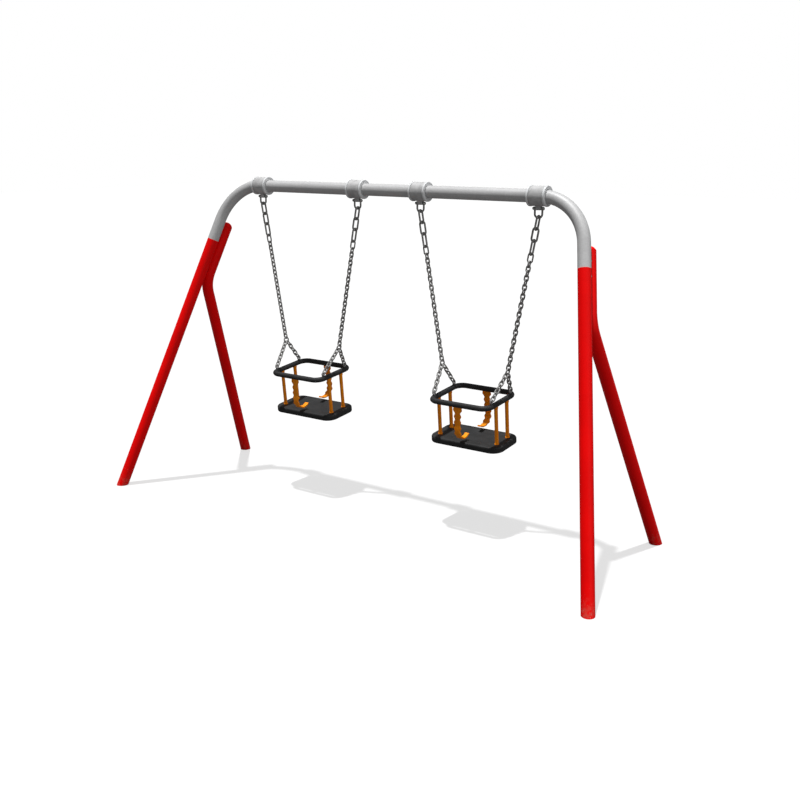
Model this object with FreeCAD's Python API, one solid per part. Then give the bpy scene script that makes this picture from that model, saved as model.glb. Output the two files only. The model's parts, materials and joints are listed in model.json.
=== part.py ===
"""Two-seat swing set: an arched tube frame on four legs, with two hanging cradle seats.

Millimetres. X runs along the top bar, +Y to the rear, +Z up. The pieces are made with the top
bar above Y = 0 and then moved together, so that the origin lies on the ground at the middle of
the frame's width and depth. Every separate physical piece is written to its own STEP file.
"""
import FreeCAD, Part
import math
import os
from collections import namedtuple

Vector = FreeCAD.Vector

# ---------------------------------------------------------------- driving dimensions
# frame
TUBE_OD = 63.5                # every frame tube
TUBE_WALL = 3.2
BAR_HEIGHT = 1740.0           # ground to the axis of the top bar
CORNER_X = 1111.0             # middle of the bar to where bar and leg axes would meet
ARCH_BEND_RADIUS = 271.0
FRONT_FOOT_X = 1523.0
FRONT_FOOT_Y = -623.0
REAR_FOOT_X = 1438.0
REAR_FOOT_Y = 345.0
JOINT_DISTANCE = 334.0        # corner to the joint between arch and front leg, along the leg
KINK_DISTANCE = 586.0         # corner to the bend of the rear leg, along the leg
KINK_RADIUS = 180.0
REAR_TOP_DISTANCE = 214.0     # corner to the tip of the rear leg's cap, along the leg
CAP_HEIGHT = 22.0
CAP_PLUG_LENGTH = 18.0
LEG_GAP = 0.3                 # between the parallel tubes of one side, bridged by the welds

# joint sleeves, screws, welds and plugs
SLEEVE_WALL = 4.0
SLEEVE_LENGTH = 150.0
SLIP = 0.1                    # radial clearance of pieces that slide into a tube
SCREW_RADIUS = 4.0
SCREW_HEAD_RADIUS = 7.0
SCREW_HEAD_HEIGHT = 3.5
SCREW_HEAD_ROUND = 2.1
SCREW_OFFSET = 36.0           # joint to each joint screw
SCREW_TURN = 50.0             # degrees that the joint screws point rearward of outboard
WELD_START = 60.0             # joint to the upper end of the welds
WELD_END = 170.0              # joint to the lower end of the welds
WELD_INNER = 4.0              # weld throat, measured out from the line between the tubes
WELD_OUTER = 14.0
WELD_HALF_WIDTH = 8.0
FOOT_PLUG_HEIGHT = 24.0

# hangers
SWING_X = 542.0               # middle of the frame to the middle of each swing
HANGER_HALF_SPACING = 339.0
COLLAR_WALL = 11.6
COLLAR_LENGTH = 75.0
COLLAR_CHAMFER = 1.5
FLANGE_LIP = 2.0              # flange beyond the collar
FLANGE_THICKNESS = 10.7
FLANGE_ROUND = 2.0
AXIAL_GAP = 0.7               # between each flange and the collar
BUSH_WALL = 4.0
BUSH_SLIP = 0.05              # bush on the bar
RUNNING_GAP = 0.08            # collar on the bush, and shackle bolt in the lug
GRUB_RADIUS = 3.0
GRUB_LENGTH = 16.0
GRUB_TURN = 45.0              # degrees that the grub screws point rearward of straight up
LUG_WIDTH = 28.6
LUG_DEPTH = 24.0
LUG_HEIGHT = 18.5             # collar to the lug's lower face
PIN_DEPTH = 10.5              # collar to the shackle bolt's axis

# shackles
BOLT_RADIUS = 4.0
BOLT_HEAD_ACROSS = 13.0
BOLT_HEAD_HEIGHT = 5.3
NUT_HEIGHT = 6.5
BOLT_TAIL = 2.0               # how far a bolt stands out of its nut
SHACKLE_ROD = 10.0
SHACKLE_GAP = 0.7             # each side between the lug and the shackle's eyes
SHACKLE_DROP = 44.0           # bolt axis to the rod's centre at the bottom of the bow
SHACKLE_EYE_RADIUS = 9.0
SHACKLE_BEND_SHARE = 0.95     # bend radius of the bow, as a share of half its spacing

# chains
LINK_GAP = 0.4                # left between linked pieces
LONG_WIRE = 10.0
LONG_INSIDE = 20.0            # clear width inside a link
LONG_PITCHES = (58.0, 58.0, 65.0)
MIDDLE_WIRE = 8.0
MIDDLE_INSIDE = 18.0
MIDDLE_PITCH = 40.0
WIRE = 8.0
LINK_INSIDE = 12.0
LINK_PITCH = 23.2             # wanted pitch; the true one fills the run with whole links
SPLIT_HALF_SPACING = 196.0    # middle of the swing to each split ring
SPLIT_RISE = 152.0            # top ring of the seat to the split rings
SPLIT_LINK_GAP = 2.5          # between the first links of the two chain legs on a split ring

# seats
SEAT_HEIGHT = 717.0           # ground to the axis of the top ring
SEAT_RECLINE = 5.7            # degrees that the seat leans back on its chains
SEAT_BALANCE_DROP = 150.0     # top ring to the seat's centre of mass
RING_HALF_WIDTH = 172.0
RING_HALF_DEPTH = 142.0
RING_CORNER = 48.0
RING_ROD = 28.6
CORE_ROD = 10.0
EYE_OFFSET = 96.0             # front or rear of the middle of the side bars
EYE_RADIUS = 10.0             # centre line of the eye
EYE_SEAT = 1.0                # how far the eye sinks into the ring's surface
POST_RADIUS = 10.0
POST_OFFSET = 54.0            # front or rear of the middle of the side bars
STUD_RADIUS = 4.0
STUD_NUT_ACROSS = 13.0
STUD_NUT_HEIGHT = 6.5
STUD_TAIL = 1.0               # how far a stud stands out of its nut
STUD_NUT_POCKET_RADIUS = 9.5
STUD_NUT_POCKET_DEPTH = 9.0
PLATFORM_DROP = 212.0         # top ring to the platform's upper face
PLATFORM_THICKNESS = 34.0
PLATFORM_OVERHANG = 42.0      # beyond the axis of the top ring's side bars
PLATFORM_SETBACK = 24.0       # behind the axis of the top ring's front bar
PLATFORM_CORNER = 60.0
PLATFORM_TOP_ROUND = 10.0
PLATFORM_BOTTOM_ROUND = 6.0
DISH_DEPTH = 3.0
DISH_SLOPE = 2.7              # width of the slope round the dish
DISH_MARGIN_X = 62.0
DISH_MARGIN_Y = 34.0
PLATE_THICKNESS = 4.0
PLATE_MARGIN = 22.0
PLATE_DROP = 12.0             # platform's upper face to the plate
STRAP_WIDTH = 40.0
STRAP_THICKNESS = 9.0
STRAP_LEAN = 13.0             # how far the strap stands out at its lower bend
STRAP_CLEARANCE = 22.0        # platform's upper face to the middle of the strap's lower run
STRAP_BEND = 52.0
STRAP_REACH = 72.0            # bend corner to the corner before the tip
STRAP_TIP = 22.0              # length of the upturned tip
STRAP_TIP_RISE = 9.0
STRAP_TIP_BEND = 20.0
STRAP_STUD_RADIUS = 2.5
STRAP_STUD_LENGTH = 34.0

# ---------------------------------------------------------------- derived sizes
TUBE_RADIUS = TUBE_OD / 2
TUBE_BORE = TUBE_RADIUS - TUBE_WALL
X_AXIS = Vector(1, 0, 0)
Y_AXIS = Vector(0, 1, 0)
Z_AXIS = Vector(0, 0, 1)
SIDES = {"left": -1, "right": 1}
RING_RADIUS = RING_ROD / 2
CORE_RADIUS = CORE_ROD / 2
BUSH_BORE = TUBE_RADIUS + BUSH_SLIP
BUSH_RADIUS = BUSH_BORE + BUSH_WALL
COLLAR_BORE = BUSH_RADIUS + RUNNING_GAP
COLLAR_RADIUS = COLLAR_BORE + COLLAR_WALL
FLANGE_RADIUS = COLLAR_RADIUS + FLANGE_LIP
LUG_DROP = COLLAR_RADIUS + LUG_HEIGHT
PIN_DROP = COLLAR_RADIUS + PIN_DEPTH
SHACKLE_SPACING = LUG_WIDTH + 2 * SHACKLE_GAP + SHACKLE_ROD
LONG_WIDTH = LONG_INSIDE + LONG_WIRE
MIDDLE_WIDTH = MIDDLE_INSIDE + MIDDLE_WIRE
LINK_WIDTH = LINK_INSIDE + WIRE
SPLIT_HEIGHT = SEAT_HEIGHT + SPLIT_RISE
EYE_CENTRE = RING_RADIUS + EYE_RADIUS + WIRE / 2 - EYE_SEAT    # above the top ring's axis
LEG_SPREAD = math.atan2(EYE_OFFSET, SPLIT_RISE - EYE_CENTRE)   # of a chain leg from straight down
FIRST_LINK_DROP = (WIRE + SPLIT_LINK_GAP) / (2 * math.sin(LEG_SPREAD))
SPLIT_RING_RADIUS = FIRST_LINK_DROP + WIRE + LINK_GAP          # centre line of the ring
PLATFORM_HALF_WIDTH = RING_HALF_WIDTH + PLATFORM_OVERHANG
PLATFORM_HALF_DEPTH = RING_HALF_DEPTH - PLATFORM_SETBACK
STRAP_DROP = PLATFORM_DROP - STRAP_CLEARANCE
LONG_REACH = 2 * BAR_HEIGHT   # longer than any leg, for cutting
CUT_MARGIN = 1.0              # how far a cutting shape runs past a face
UPRIGHT = 0.99                # least Z of the direction of an upright edge
LEVEL_TOLERANCE = 1e-4
LINK_PIECES = {}              # links already made, by size


# ---------------------------------------------------------------- small helpers
def unit(vector):
    return vector / vector.Length


def rod(start, end, radius):
    """Solid cylinder from start to end."""
    return Part.makeCylinder(radius, (end - start).Length, start, end - start)


def ring_face(centre, along, outer, inner=0.0):
    """Disc across a direction, with a hole when inner is given."""
    face = Part.Face(Part.Wire(Part.makeCircle(outer, centre, along)))
    if inner > 0:
        face = face.cut(Part.Face(Part.Wire(Part.makeCircle(inner, centre, along)))).Faces[0]
    return face


def joined(solids):
    """One solid from pieces that meet face to face or overlap."""
    whole = solids[0].multiFuse(solids[1:]).removeSplitter()
    return whole.Solids[0]


def corner_bend(before, corner, after, radius):
    """Tangent points, centre, axis and angle of the arc that rounds a corner."""
    incoming = unit(corner - before)
    outgoing = unit(after - corner)
    turn = incoming.getAngle(outgoing)
    reach = radius * math.tan(turn / 2)
    start = corner - incoming * reach
    end = corner + outgoing * reach
    axis = unit(incoming.cross(outgoing))
    centre = start + axis.cross(incoming) * radius
    return start, end, centre, axis, math.degrees(turn)


def bent_tube(points, radii, outer, inner=0.0, closed=False):
    """Round bar or tube along straight runs, with an arc of its own radius at each corner."""
    count = len(points)
    corners = range(count) if closed else range(1, count - 1)
    bends = {}
    for index in corners:
        before = points[index - 1]
        after = points[(index + 1) % count]
        bends[index] = corner_bend(before, points[index], after, radii[index])
    solids = []
    for start, end, centre, axis, angle in bends.values():
        along = axis.cross(start - centre)
        solids.append(ring_face(start, along, outer, inner).revolve(centre, axis, angle))
    runs = range(count) if closed else range(count - 1)
    for index in runs:
        following = (index + 1) % count
        start = bends[index][1] if index in bends else points[index]
        end = bends[following][0] if following in bends else points[following]
        solids.append(ring_face(start, end - start, outer, inner).extrude(end - start))
    return joined(solids)


def rounded_block(half_x, half_y, corner, low, high):
    """Upright block with a rounded rectangular outline."""
    block = Part.makeBox(2 * half_x, 2 * half_y, high - low, Vector(-half_x, -half_y, low))
    upright = [edge for edge in block.Edges if abs(edge.tangentAt(edge.FirstParameter).z) > UPRIGHT]
    return block.makeFillet(corner, upright)


def edges_at(shape, height):
    """Edges that lie wholly at one height."""
    found = []
    for edge in shape.Edges:
        box = edge.BoundBox
        if abs(box.ZMin - height) < LEVEL_TOLERANCE and abs(box.ZMax - height) < LEVEL_TOLERANCE:
            found.append(edge)
    return found


def hexagon(centre, along, across, height):
    """Hexagonal prism, the shape of a bolt head or nut."""
    along = unit(along)
    side = Z_AXIS if abs(along.z) < 0.5 else X_AXIS
    side = unit(side - along * side.dot(along))
    other = along.cross(side)
    radius = across / math.sqrt(3)
    points = []
    for corner in range(7):
        angle = math.radians(60 * corner)
        points.append(centre + side * (radius * math.cos(angle)) + other * (radius * math.sin(angle)))
    return Part.Face(Part.makePolygon(points)).extrude(along * height)


def link_shape(length, width, wire):
    """Oval link hanging down from the origin; length and width run between wire centres."""
    half = width / 2
    upper = Z_AXIS * -half
    lower = Z_AXIS * (half - length)
    out = X_AXIS * half
    return joined([
        ring_face(upper + out, Z_AXIS, wire / 2).revolve(upper, -Y_AXIS, 180),
        ring_face(lower - out, Z_AXIS, wire / 2).revolve(lower, -Y_AXIS, 180),
        rod(upper + out, lower + out, wire / 2),
        rod(upper - out, lower - out, wire / 2),
    ])


def chain_link(top, bottom, width_direction, width, wire):
    """Oval link whose end arcs have the given wire centres as their far points."""
    size = (round((bottom - top).Length, 6), width, wire)
    if size not in LINK_PIECES:
        LINK_PIECES[size] = link_shape(*size)
    upward = unit(top - bottom)
    across = unit(width_direction - upward * width_direction.dot(upward))
    normal = upward.cross(across)
    link = LINK_PIECES[size].copy()
    link.Placement = FreeCAD.Placement(FreeCAD.Matrix(
        across.x, normal.x, upward.x, top.x,
        across.y, normal.y, upward.y, top.y,
        across.z, normal.z, upward.z, top.z,
        0, 0, 0, 1))
    return link


def group(solids):
    return Part.makeCompound(solids)


# ---------------------------------------------------------------- frame
LegLine = namedtuple("LegLine", "corner foot rear_foot along normal")


def leg_axes(side):
    """Corner, feet, leg direction and rearward normal of one side of the frame."""
    corner = Vector(side * CORNER_X, 0, BAR_HEIGHT)
    foot = Vector(side * FRONT_FOOT_X, FRONT_FOOT_Y, 0)
    rear_foot = Vector(side * REAR_FOOT_X, REAR_FOOT_Y, 0)
    along = unit(foot - corner)
    rearward = rear_foot - foot
    normal = unit(rearward - along * rearward.dot(along))
    return LegLine(corner, foot, rear_foot, along, normal)


def above_ground(shape):
    """What is left of a leg after its foot is cut level with the ground."""
    below = Part.makeBox(2 * LONG_REACH, 2 * LONG_REACH, LONG_REACH,
                         Vector(-LONG_REACH, -LONG_REACH, -LONG_REACH))
    return shape.cut(below).Solids[0]


def screw_direction(side):
    """Way that the joint screws point, out of sight between outboard and rearward."""
    line = leg_axes(side)
    outboard = unit(line.along.cross(line.normal)) * side
    if outboard.x * side < 0:
        outboard = outboard * -1
    turn = math.radians(SCREW_TURN)
    return outboard * math.cos(turn) + line.normal * math.sin(turn)


def joint_screw_places(side):
    line = leg_axes(side)
    distances = (JOINT_DISTANCE - SCREW_OFFSET, JOINT_DISTANCE + SCREW_OFFSET)
    return [line.corner + line.along * distance for distance in distances]


def joint_screw_holes(side):
    """Rods that cut the clearance holes of the joint screws."""
    outward = screw_direction(side)
    return [rod(place, place + outward * TUBE_OD, SCREW_RADIUS + SLIP)
            for place in joint_screw_places(side)]


def hanger_places():
    """X of each hanger, by swing side."""
    return {name: (sign * (SWING_X - HANGER_HALF_SPACING), sign * (SWING_X + HANGER_HALF_SPACING))
            for name, sign in SIDES.items()}


def grub_direction():
    turn = math.radians(GRUB_TURN)
    return Vector(0, math.sin(turn), math.cos(turn))


def flange_centres(x):
    """X of the middle of both flanges of one hanger."""
    reach = COLLAR_LENGTH / 2 + AXIAL_GAP + FLANGE_THICKNESS / 2
    return (x - reach, x + reach)


def grub_screws(x, radius):
    """Grub screw rods of one hanger, from inside the bar's wall to just below the flange's rim."""
    outward = grub_direction()
    rods = []
    for centre in flange_centres(x):
        axis = Vector(centre, 0, BAR_HEIGHT)
        start = axis + outward * (TUBE_BORE + TUBE_WALL / 2)
        rods.append(rod(start, start + outward * GRUB_LENGTH, radius))
    return rods


def arch_bar(outer, inner=0.0):
    """Bar or tube along the arch's axis."""
    ends = []
    for side in (-1, 1):
        line = leg_axes(side)
        ends.append(line.corner + line.along * JOINT_DISTANCE)
    left = Vector(-CORNER_X, 0, BAR_HEIGHT)
    right = Vector(CORNER_X, 0, BAR_HEIGHT)
    radii = {1: ARCH_BEND_RADIUS, 2: ARCH_BEND_RADIUS}
    return bent_tube([ends[0], left, right, ends[1]], radii, outer, inner)


def make_arch():
    arch = arch_bar(TUBE_RADIUS, TUBE_BORE)
    holes = []
    for side in (-1, 1):
        holes += joint_screw_holes(side)
    for pair in hanger_places().values():
        for x in pair:
            holes += grub_screws(x, GRUB_RADIUS)
    return arch.cut(Part.makeCompound(holes)).Solids[0]


def make_front_leg(side):
    line = leg_axes(side)
    start = line.corner + line.along * JOINT_DISTANCE
    leg = rod(start, line.foot + line.along * TUBE_OD, TUBE_RADIUS)
    leg = leg.cut(rod(start - line.along, line.foot + line.along * 2 * TUBE_OD, TUBE_BORE))
    return above_ground(leg.cut(Part.makeCompound(joint_screw_holes(side))))


def rear_leg_path(side):
    line = leg_axes(side)
    offset = line.normal * (TUBE_OD + LEG_GAP)
    top = line.corner + line.along * (REAR_TOP_DISTANCE + CAP_HEIGHT) + offset
    kink = line.corner + line.along * KINK_DISTANCE + offset
    end = line.rear_foot + unit(line.rear_foot - kink) * TUBE_OD
    return top, kink, end


def make_rear_leg(side):
    radii = {1: KINK_RADIUS}
    return above_ground(bent_tube(list(rear_leg_path(side)), radii, TUBE_RADIUS, TUBE_BORE))


def make_leg_cap(side):
    """Domed cap with a plug that fits inside the rear leg's upper end."""
    line = leg_axes(side)
    top = rear_leg_path(side)[0]
    dome_radius = (TUBE_RADIUS ** 2 + CAP_HEIGHT ** 2) / (2 * CAP_HEIGHT)
    centre = top + line.along * (dome_radius - CAP_HEIGHT)
    dome = Part.makeSphere(dome_radius, centre)
    dome = dome.common(rod(top - line.along * CAP_HEIGHT, top, TUBE_RADIUS))
    plug = rod(top, top + line.along * CAP_PLUG_LENGTH, TUBE_BORE - SLIP)
    return joined([dome, plug])


def make_leg_welds(side):
    """Fillet welds in the two grooves between the front and rear leg."""
    line = leg_axes(side)
    across = unit(line.along.cross(line.normal))
    offset = line.normal * (TUBE_OD + LEG_GAP)
    front = rod(line.corner, line.corner + line.along * LONG_REACH, TUBE_RADIUS)
    rear = rod(line.corner + offset, line.corner + offset + line.along * LONG_REACH, TUBE_RADIUS)
    middle = line.corner + offset / 2
    start = middle + line.along * (JOINT_DISTANCE + WELD_START)
    half = line.normal * WELD_HALF_WIDTH
    welds = []
    for way in (-1, 1):
        near = start + across * (way * WELD_INNER)
        far = start + across * (way * WELD_OUTER)
        outline = [near - half, far - half, far + half, near + half, near - half]
        bead = Part.Face(Part.makePolygon(outline)).extrude(line.along * (WELD_END - WELD_START))
        welds += bead.cut(front).cut(rear).Solids
    return group(welds)


def make_joint_sleeve(side):
    line = leg_axes(side)
    middle = line.corner + line.along * JOINT_DISTANCE
    start = middle - line.along * SLEEVE_LENGTH / 2
    end = middle + line.along * SLEEVE_LENGTH / 2
    outer = TUBE_BORE - SLIP
    sleeve = rod(start, end, outer).cut(rod(start - line.along, end + line.along, outer - SLEEVE_WALL))
    return sleeve.cut(Part.makeCompound(joint_screw_holes(side)))


def make_joint_screws():
    """Button screws through the tube walls into the joint sleeves."""
    screws = []
    for side in (-1, 1):
        outward = screw_direction(side)
        for place in joint_screw_places(side):
            tip = place + outward * (TUBE_BORE - SLIP - SLEEVE_WALL)
            surface = place + outward * TUBE_RADIUS
            head = rod(surface, surface + outward * SCREW_HEAD_HEIGHT, SCREW_HEAD_RADIUS)
            rim = [edge for edge in head.Edges if edge.Closed and
                   (edge.Vertexes[0].Point - surface).dot(outward) > SCREW_HEAD_HEIGHT / 2]
            head = head.makeFillet(SCREW_HEAD_ROUND, rim)
            screws.append(joined([rod(tip, surface + outward, SCREW_RADIUS), head]))
    return group(screws)


def make_foot_plugs():
    """Plugs that close the lower ends of the four legs, cut level with the ground."""
    plugs = []
    slab = Part.makeBox(2 * LONG_REACH, 2 * LONG_REACH, FOOT_PLUG_HEIGHT,
                        Vector(-LONG_REACH, -LONG_REACH, 0))
    for side in (-1, 1):
        line = leg_axes(side)
        kink = rear_leg_path(side)[1]
        for end, way in ((line.foot, line.along), (line.rear_foot, unit(line.rear_foot - kink))):
            core = rod(end - way * TUBE_OD * 2, end + way * TUBE_OD * 2, TUBE_BORE - SLIP)
            plugs.append(core.common(slab).Solids[0])
    return group(plugs)


# ---------------------------------------------------------------- hangers
def make_bushes(name):
    """Two flanged bushes per hanger, each pushed in from its own end of the collar."""
    bushes = []
    bar = arch_bar(BUSH_BORE)
    for x in hanger_places()[name]:
        middle = Vector(x, 0, BAR_HEIGHT)
        grubs = Part.makeCompound(grub_screws(x, GRUB_RADIUS))
        for way in (-1, 1):
            out = X_AXIS * way
            inner_face = middle + out * (COLLAR_LENGTH / 2 + AXIAL_GAP)
            outer_face = inner_face + out * FLANGE_THICKNESS
            flange = rod(inner_face, outer_face, FLANGE_RADIUS)
            rims = [edge for edge in flange.Edges if edge.Closed]
            flange = flange.makeFillet(FLANGE_ROUND, rims)
            sleeve = rod(middle + out * AXIAL_GAP / 2, outer_face, BUSH_RADIUS)
            bushes.append(flange.fuse(sleeve).removeSplitter().cut(bar).cut(grubs).Solids[0])
    return group(bushes)


def make_collar(x):
    """Steel collar that turns on the bushes, with the lug that carries the shackle."""
    middle = Vector(x, 0, BAR_HEIGHT)
    half = X_AXIS * (COLLAR_LENGTH / 2)
    body = rod(middle - half, middle + half, COLLAR_RADIUS)
    body = body.makeChamfer(COLLAR_CHAMFER, [edge for edge in body.Edges if edge.Closed])
    lug = Part.makeBox(LUG_WIDTH, LUG_DEPTH, LUG_DROP,
                       Vector(x - LUG_WIDTH / 2, -LUG_DEPTH / 2, BAR_HEIGHT - LUG_DROP))
    bore = rod(middle - half * 2, middle + half * 2, COLLAR_BORE)
    pin = middle - Z_AXIS * PIN_DROP
    pin_bore = rod(pin - half, pin + half, BOLT_RADIUS + RUNNING_GAP)
    return body.fuse(lug).removeSplitter().cut(bore).cut(pin_bore).Solids[0]


def make_shackle(x):
    """Bow shackle: a bent rod with an eye at each end for the bolt."""
    pin = Vector(x, 0, BAR_HEIGHT - PIN_DROP)
    half = SHACKLE_SPACING / 2
    low = -Z_AXIS * SHACKLE_DROP
    points = [pin - X_AXIS * half, pin - X_AXIS * half + low,
              pin + X_AXIS * half + low, pin + X_AXIS * half]
    bend = half * SHACKLE_BEND_SHARE
    solids = [bent_tube(points, {1: bend, 2: bend}, SHACKLE_ROD / 2)]
    for way in (-1, 1):
        centre = pin + X_AXIS * (way * half)
        edge = X_AXIS * (SHACKLE_ROD / 2)
        solids.append(rod(centre - edge, centre + edge, SHACKLE_EYE_RADIUS))
    reach = X_AXIS * SHACKLE_SPACING
    return joined(solids).cut(rod(pin - reach, pin + reach, BOLT_RADIUS)).Solids[0]


def eye_face(x, way):
    """Middle of the outer face of the shackle's eye on one side."""
    pin = Vector(x, 0, BAR_HEIGHT - PIN_DROP)
    return pin + X_AXIS * (way * (SHACKLE_SPACING + SHACKLE_ROD) / 2)


def make_shackle_bolt(x):
    """Bolt with its head on the side of the frame's middle; it ends just past the nut."""
    way = -1 if x > 0 else 1
    head = eye_face(x, way)
    tail = eye_face(x, -way) - X_AXIS * (way * (NUT_HEIGHT + BOLT_TAIL))
    return joined([rod(head, tail, BOLT_RADIUS),
                   hexagon(head, X_AXIS * way, BOLT_HEAD_ACROSS, BOLT_HEAD_HEIGHT)])


def make_shackle_nut(x):
    way = 1 if x > 0 else -1
    face = eye_face(x, way)
    out = X_AXIS * way
    nut = hexagon(face, out, BOLT_HEAD_ACROSS, NUT_HEIGHT)
    return nut.cut(rod(face - out * CUT_MARGIN, face + out * (NUT_HEIGHT + CUT_MARGIN), BOLT_RADIUS))


# ---------------------------------------------------------------- chains
def chain_ends(side, way):
    """Bottom of a shackle bow and centre of the split ring below it."""
    hanger_x = side * SWING_X + way * HANGER_HALF_SPACING
    bow = Vector(hanger_x, 0, BAR_HEIGHT - PIN_DROP - SHACKLE_DROP)
    ring = Vector(side * SWING_X + way * SPLIT_HALF_SPACING, 0, SPLIT_HEIGHT)
    return bow, ring


def chain_run(origin, down, first_top, pitches, wires, widths, last_wire, directions):
    """Links one below the other; each pitch is from one link's top wire to the next one's."""
    links = []
    top = first_top
    for index, pitch in enumerate(pitches):
        wire = wires[index]
        following = wires[index + 1] if index + 1 < len(wires) else last_wire
        bottom = top + pitch + (wire + following) / 2 + LINK_GAP
        turn = directions[index % 2]
        links.append(chain_link(origin + down * top, origin + down * bottom, turn, widths[index], wire))
        top += pitch
    return links


def make_upper_chain(side, way):
    """Long links, one middle link, and short links down to the split ring."""
    bow, ring = chain_ends(side, way)
    down = unit(ring - bow)
    first_top = -(SHACKLE_ROD + LONG_WIRE) / 2 - LINK_GAP
    heads = list(LONG_PITCHES) + [MIDDLE_PITCH]
    run = (ring - bow).Length - SPLIT_RING_RADIUS - first_top - sum(heads)
    count = 2 * round(run / (2 * LINK_PITCH))
    pitches = heads + [run / count] * count
    wires = [LONG_WIRE] * len(LONG_PITCHES) + [MIDDLE_WIRE] + [WIRE] * count
    widths = [LONG_WIDTH] * len(LONG_PITCHES) + [MIDDLE_WIDTH] + [LINK_WIDTH] * count
    links = chain_run(bow, down, first_top, pitches, wires, widths, WIRE, (Y_AXIS, X_AXIS))
    return links[:len(heads)], links[len(heads):]


def make_split_ring(side, way):
    """Round ring in the plane of the chain above it and the chain legs below it."""
    bow, ring = chain_ends(side, way)
    return Part.makeTorus(SPLIT_RING_RADIUS, WIRE / 2, ring, Y_AXIS.cross(unit(ring - bow)))


# ---------------------------------------------------------------- seats
def seat_point(side, x, y, z):
    """Place in the frame of a point given from the middle of a seat's top ring."""
    lean = math.radians(SEAT_RECLINE)
    shift = -SEAT_BALANCE_DROP * math.sin(lean)
    return Vector(side * SWING_X + x,
                  shift + y * math.cos(lean) - z * math.sin(lean),
                  SEAT_HEIGHT + y * math.sin(lean) + z * math.cos(lean))


def seated(shape, side):
    """Shape made about the middle of the top ring, moved to its place on a swing."""
    placed = shape.copy()
    placed.rotate(Vector(0, 0, 0), X_AXIS, SEAT_RECLINE)
    placed.translate(seat_point(side, 0, 0, 0))
    return placed


def eye_up():
    lean = math.radians(SEAT_RECLINE)
    return Vector(0, -math.sin(lean), math.cos(lean))


def make_lower_chain(side, way, fore):
    """Short links from a split ring down to one eye, the way they arrive and how the eye stands."""
    ring = chain_ends(side, way)[1]
    eye = seat_point(side, way * RING_HALF_WIDTH, fore * EYE_OFFSET, EYE_CENTRE)
    for across_bar in (False, True):
        grip = eye + eye_up() * EYE_RADIUS if across_bar else eye + unit(ring - eye) * EYE_RADIUS
        down = unit(grip - ring)
        run = (grip - ring).Length - FIRST_LINK_DROP
        count = round(run / LINK_PITCH)
        if (count % 2 == 0) == across_bar:
            break
    sideways = unit(X_AXIS - down * down.x)
    turns = (sideways, down.cross(sideways))
    wires = [WIRE] * count
    links = chain_run(ring, down, FIRST_LINK_DROP, [run / count] * count, wires,
                      [LINK_WIDTH] * count, WIRE, turns)
    return links, across_bar


def eye_ring(way, fore, across_bar):
    """Ring of one eye, leaned with the chain leg that it holds when it stands along the bar."""
    centre = Vector(way * RING_HALF_WIDTH, fore * EYE_OFFSET, EYE_CENTRE)
    if across_bar:
        return Part.makeTorus(EYE_RADIUS, WIRE / 2, centre, Y_AXIS)
    ring = Vector(way * SPLIT_HALF_SPACING, 0, SPLIT_HEIGHT - SEAT_HEIGHT)
    return Part.makeTorus(EYE_RADIUS, WIRE / 2, centre, Y_AXIS.cross(ring - centre))


def ring_corner_points():
    half_x = RING_HALF_WIDTH
    half_y = RING_HALF_DEPTH
    return [Vector(-half_x, -half_y, 0), Vector(half_x, -half_y, 0),
            Vector(half_x, half_y, 0), Vector(-half_x, half_y, 0)]


def ring_rod(radius):
    radii = {index: RING_CORNER for index in range(4)}
    return bent_tube(ring_corner_points(), radii, radius, closed=True)


def make_eye_bolt(way, fore, across_bar):
    """Eye with a stem that reaches the core inside the top ring."""
    eye = eye_ring(way, fore, across_bar)
    foot = Vector(way * RING_HALF_WIDTH, fore * EYE_OFFSET, 0)
    stem = rod(foot, foot + Z_AXIS * (EYE_CENTRE - EYE_RADIUS), WIRE / 2)
    return joined([eye, stem.cut(core_bar(way))])


def core_bar(way):
    """Straight part of the core inside one side bar of the ring."""
    reach = Y_AXIS * RING_HALF_DEPTH
    centre = X_AXIS * (way * RING_HALF_WIDTH)
    return rod(centre - reach, centre + reach, CORE_RADIUS)


def stem_hole(way, fore):
    centre = Vector(way * RING_HALF_WIDTH, fore * EYE_OFFSET, 0)
    return rod(centre, centre + Z_AXIS * RING_ROD, WIRE / 2)


def post_places():
    return [(way * RING_HALF_WIDTH, fore * POST_OFFSET) for way in (-1, 1) for fore in (-1, 1)]


def strap_stud(fore):
    """Stud that ties a strap to the core of the ring's front or rear bar."""
    top = Vector(0, fore * RING_HALF_DEPTH, 0)
    lean = Vector(0, fore * STRAP_LEAN, -STRAP_DROP)
    return rod(top, top + unit(lean) * (RING_RADIUS + STRAP_STUD_LENGTH), STRAP_STUD_RADIUS)


def make_seat_ring(eye_kinds):
    """Rubber top ring moulded over its core, the studs and the eye stems."""
    ring = ring_rod(RING_RADIUS)
    inside = [ring_rod(CORE_RADIUS)]
    for (way, fore), across_bar in eye_kinds.items():
        inside.append(stem_hole(way, fore))
        inside.append(eye_ring(way, fore, across_bar))
    for x, y in post_places():
        inside.append(rod(Vector(x, y, 0), Vector(x, y, -RING_ROD), STUD_RADIUS))
    for fore in (-1, 1):
        inside.append(strap_stud(fore))
    for piece in inside:
        ring = ring.cut(piece)
    return ring.Solids[0]


def make_posts():
    """Sleeves between the top ring and the platform, saddled to the ring."""
    ring = ring_rod(RING_RADIUS)
    posts = []
    for x, y in post_places():
        low = Vector(x, y, -PLATFORM_DROP)
        post = rod(low, Vector(x, y, 0), POST_RADIUS)
        bore = rod(low - Z_AXIS * CUT_MARGIN, Vector(x, y, 0), STUD_RADIUS)
        posts.append(post.cut(ring).cut(bore).Solids[0])
    return posts


def pocket_height():
    """Height of the nut pockets' upper faces, from the top ring's axis."""
    return -PLATFORM_DROP - PLATFORM_THICKNESS + STUD_NUT_POCKET_DEPTH


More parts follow.
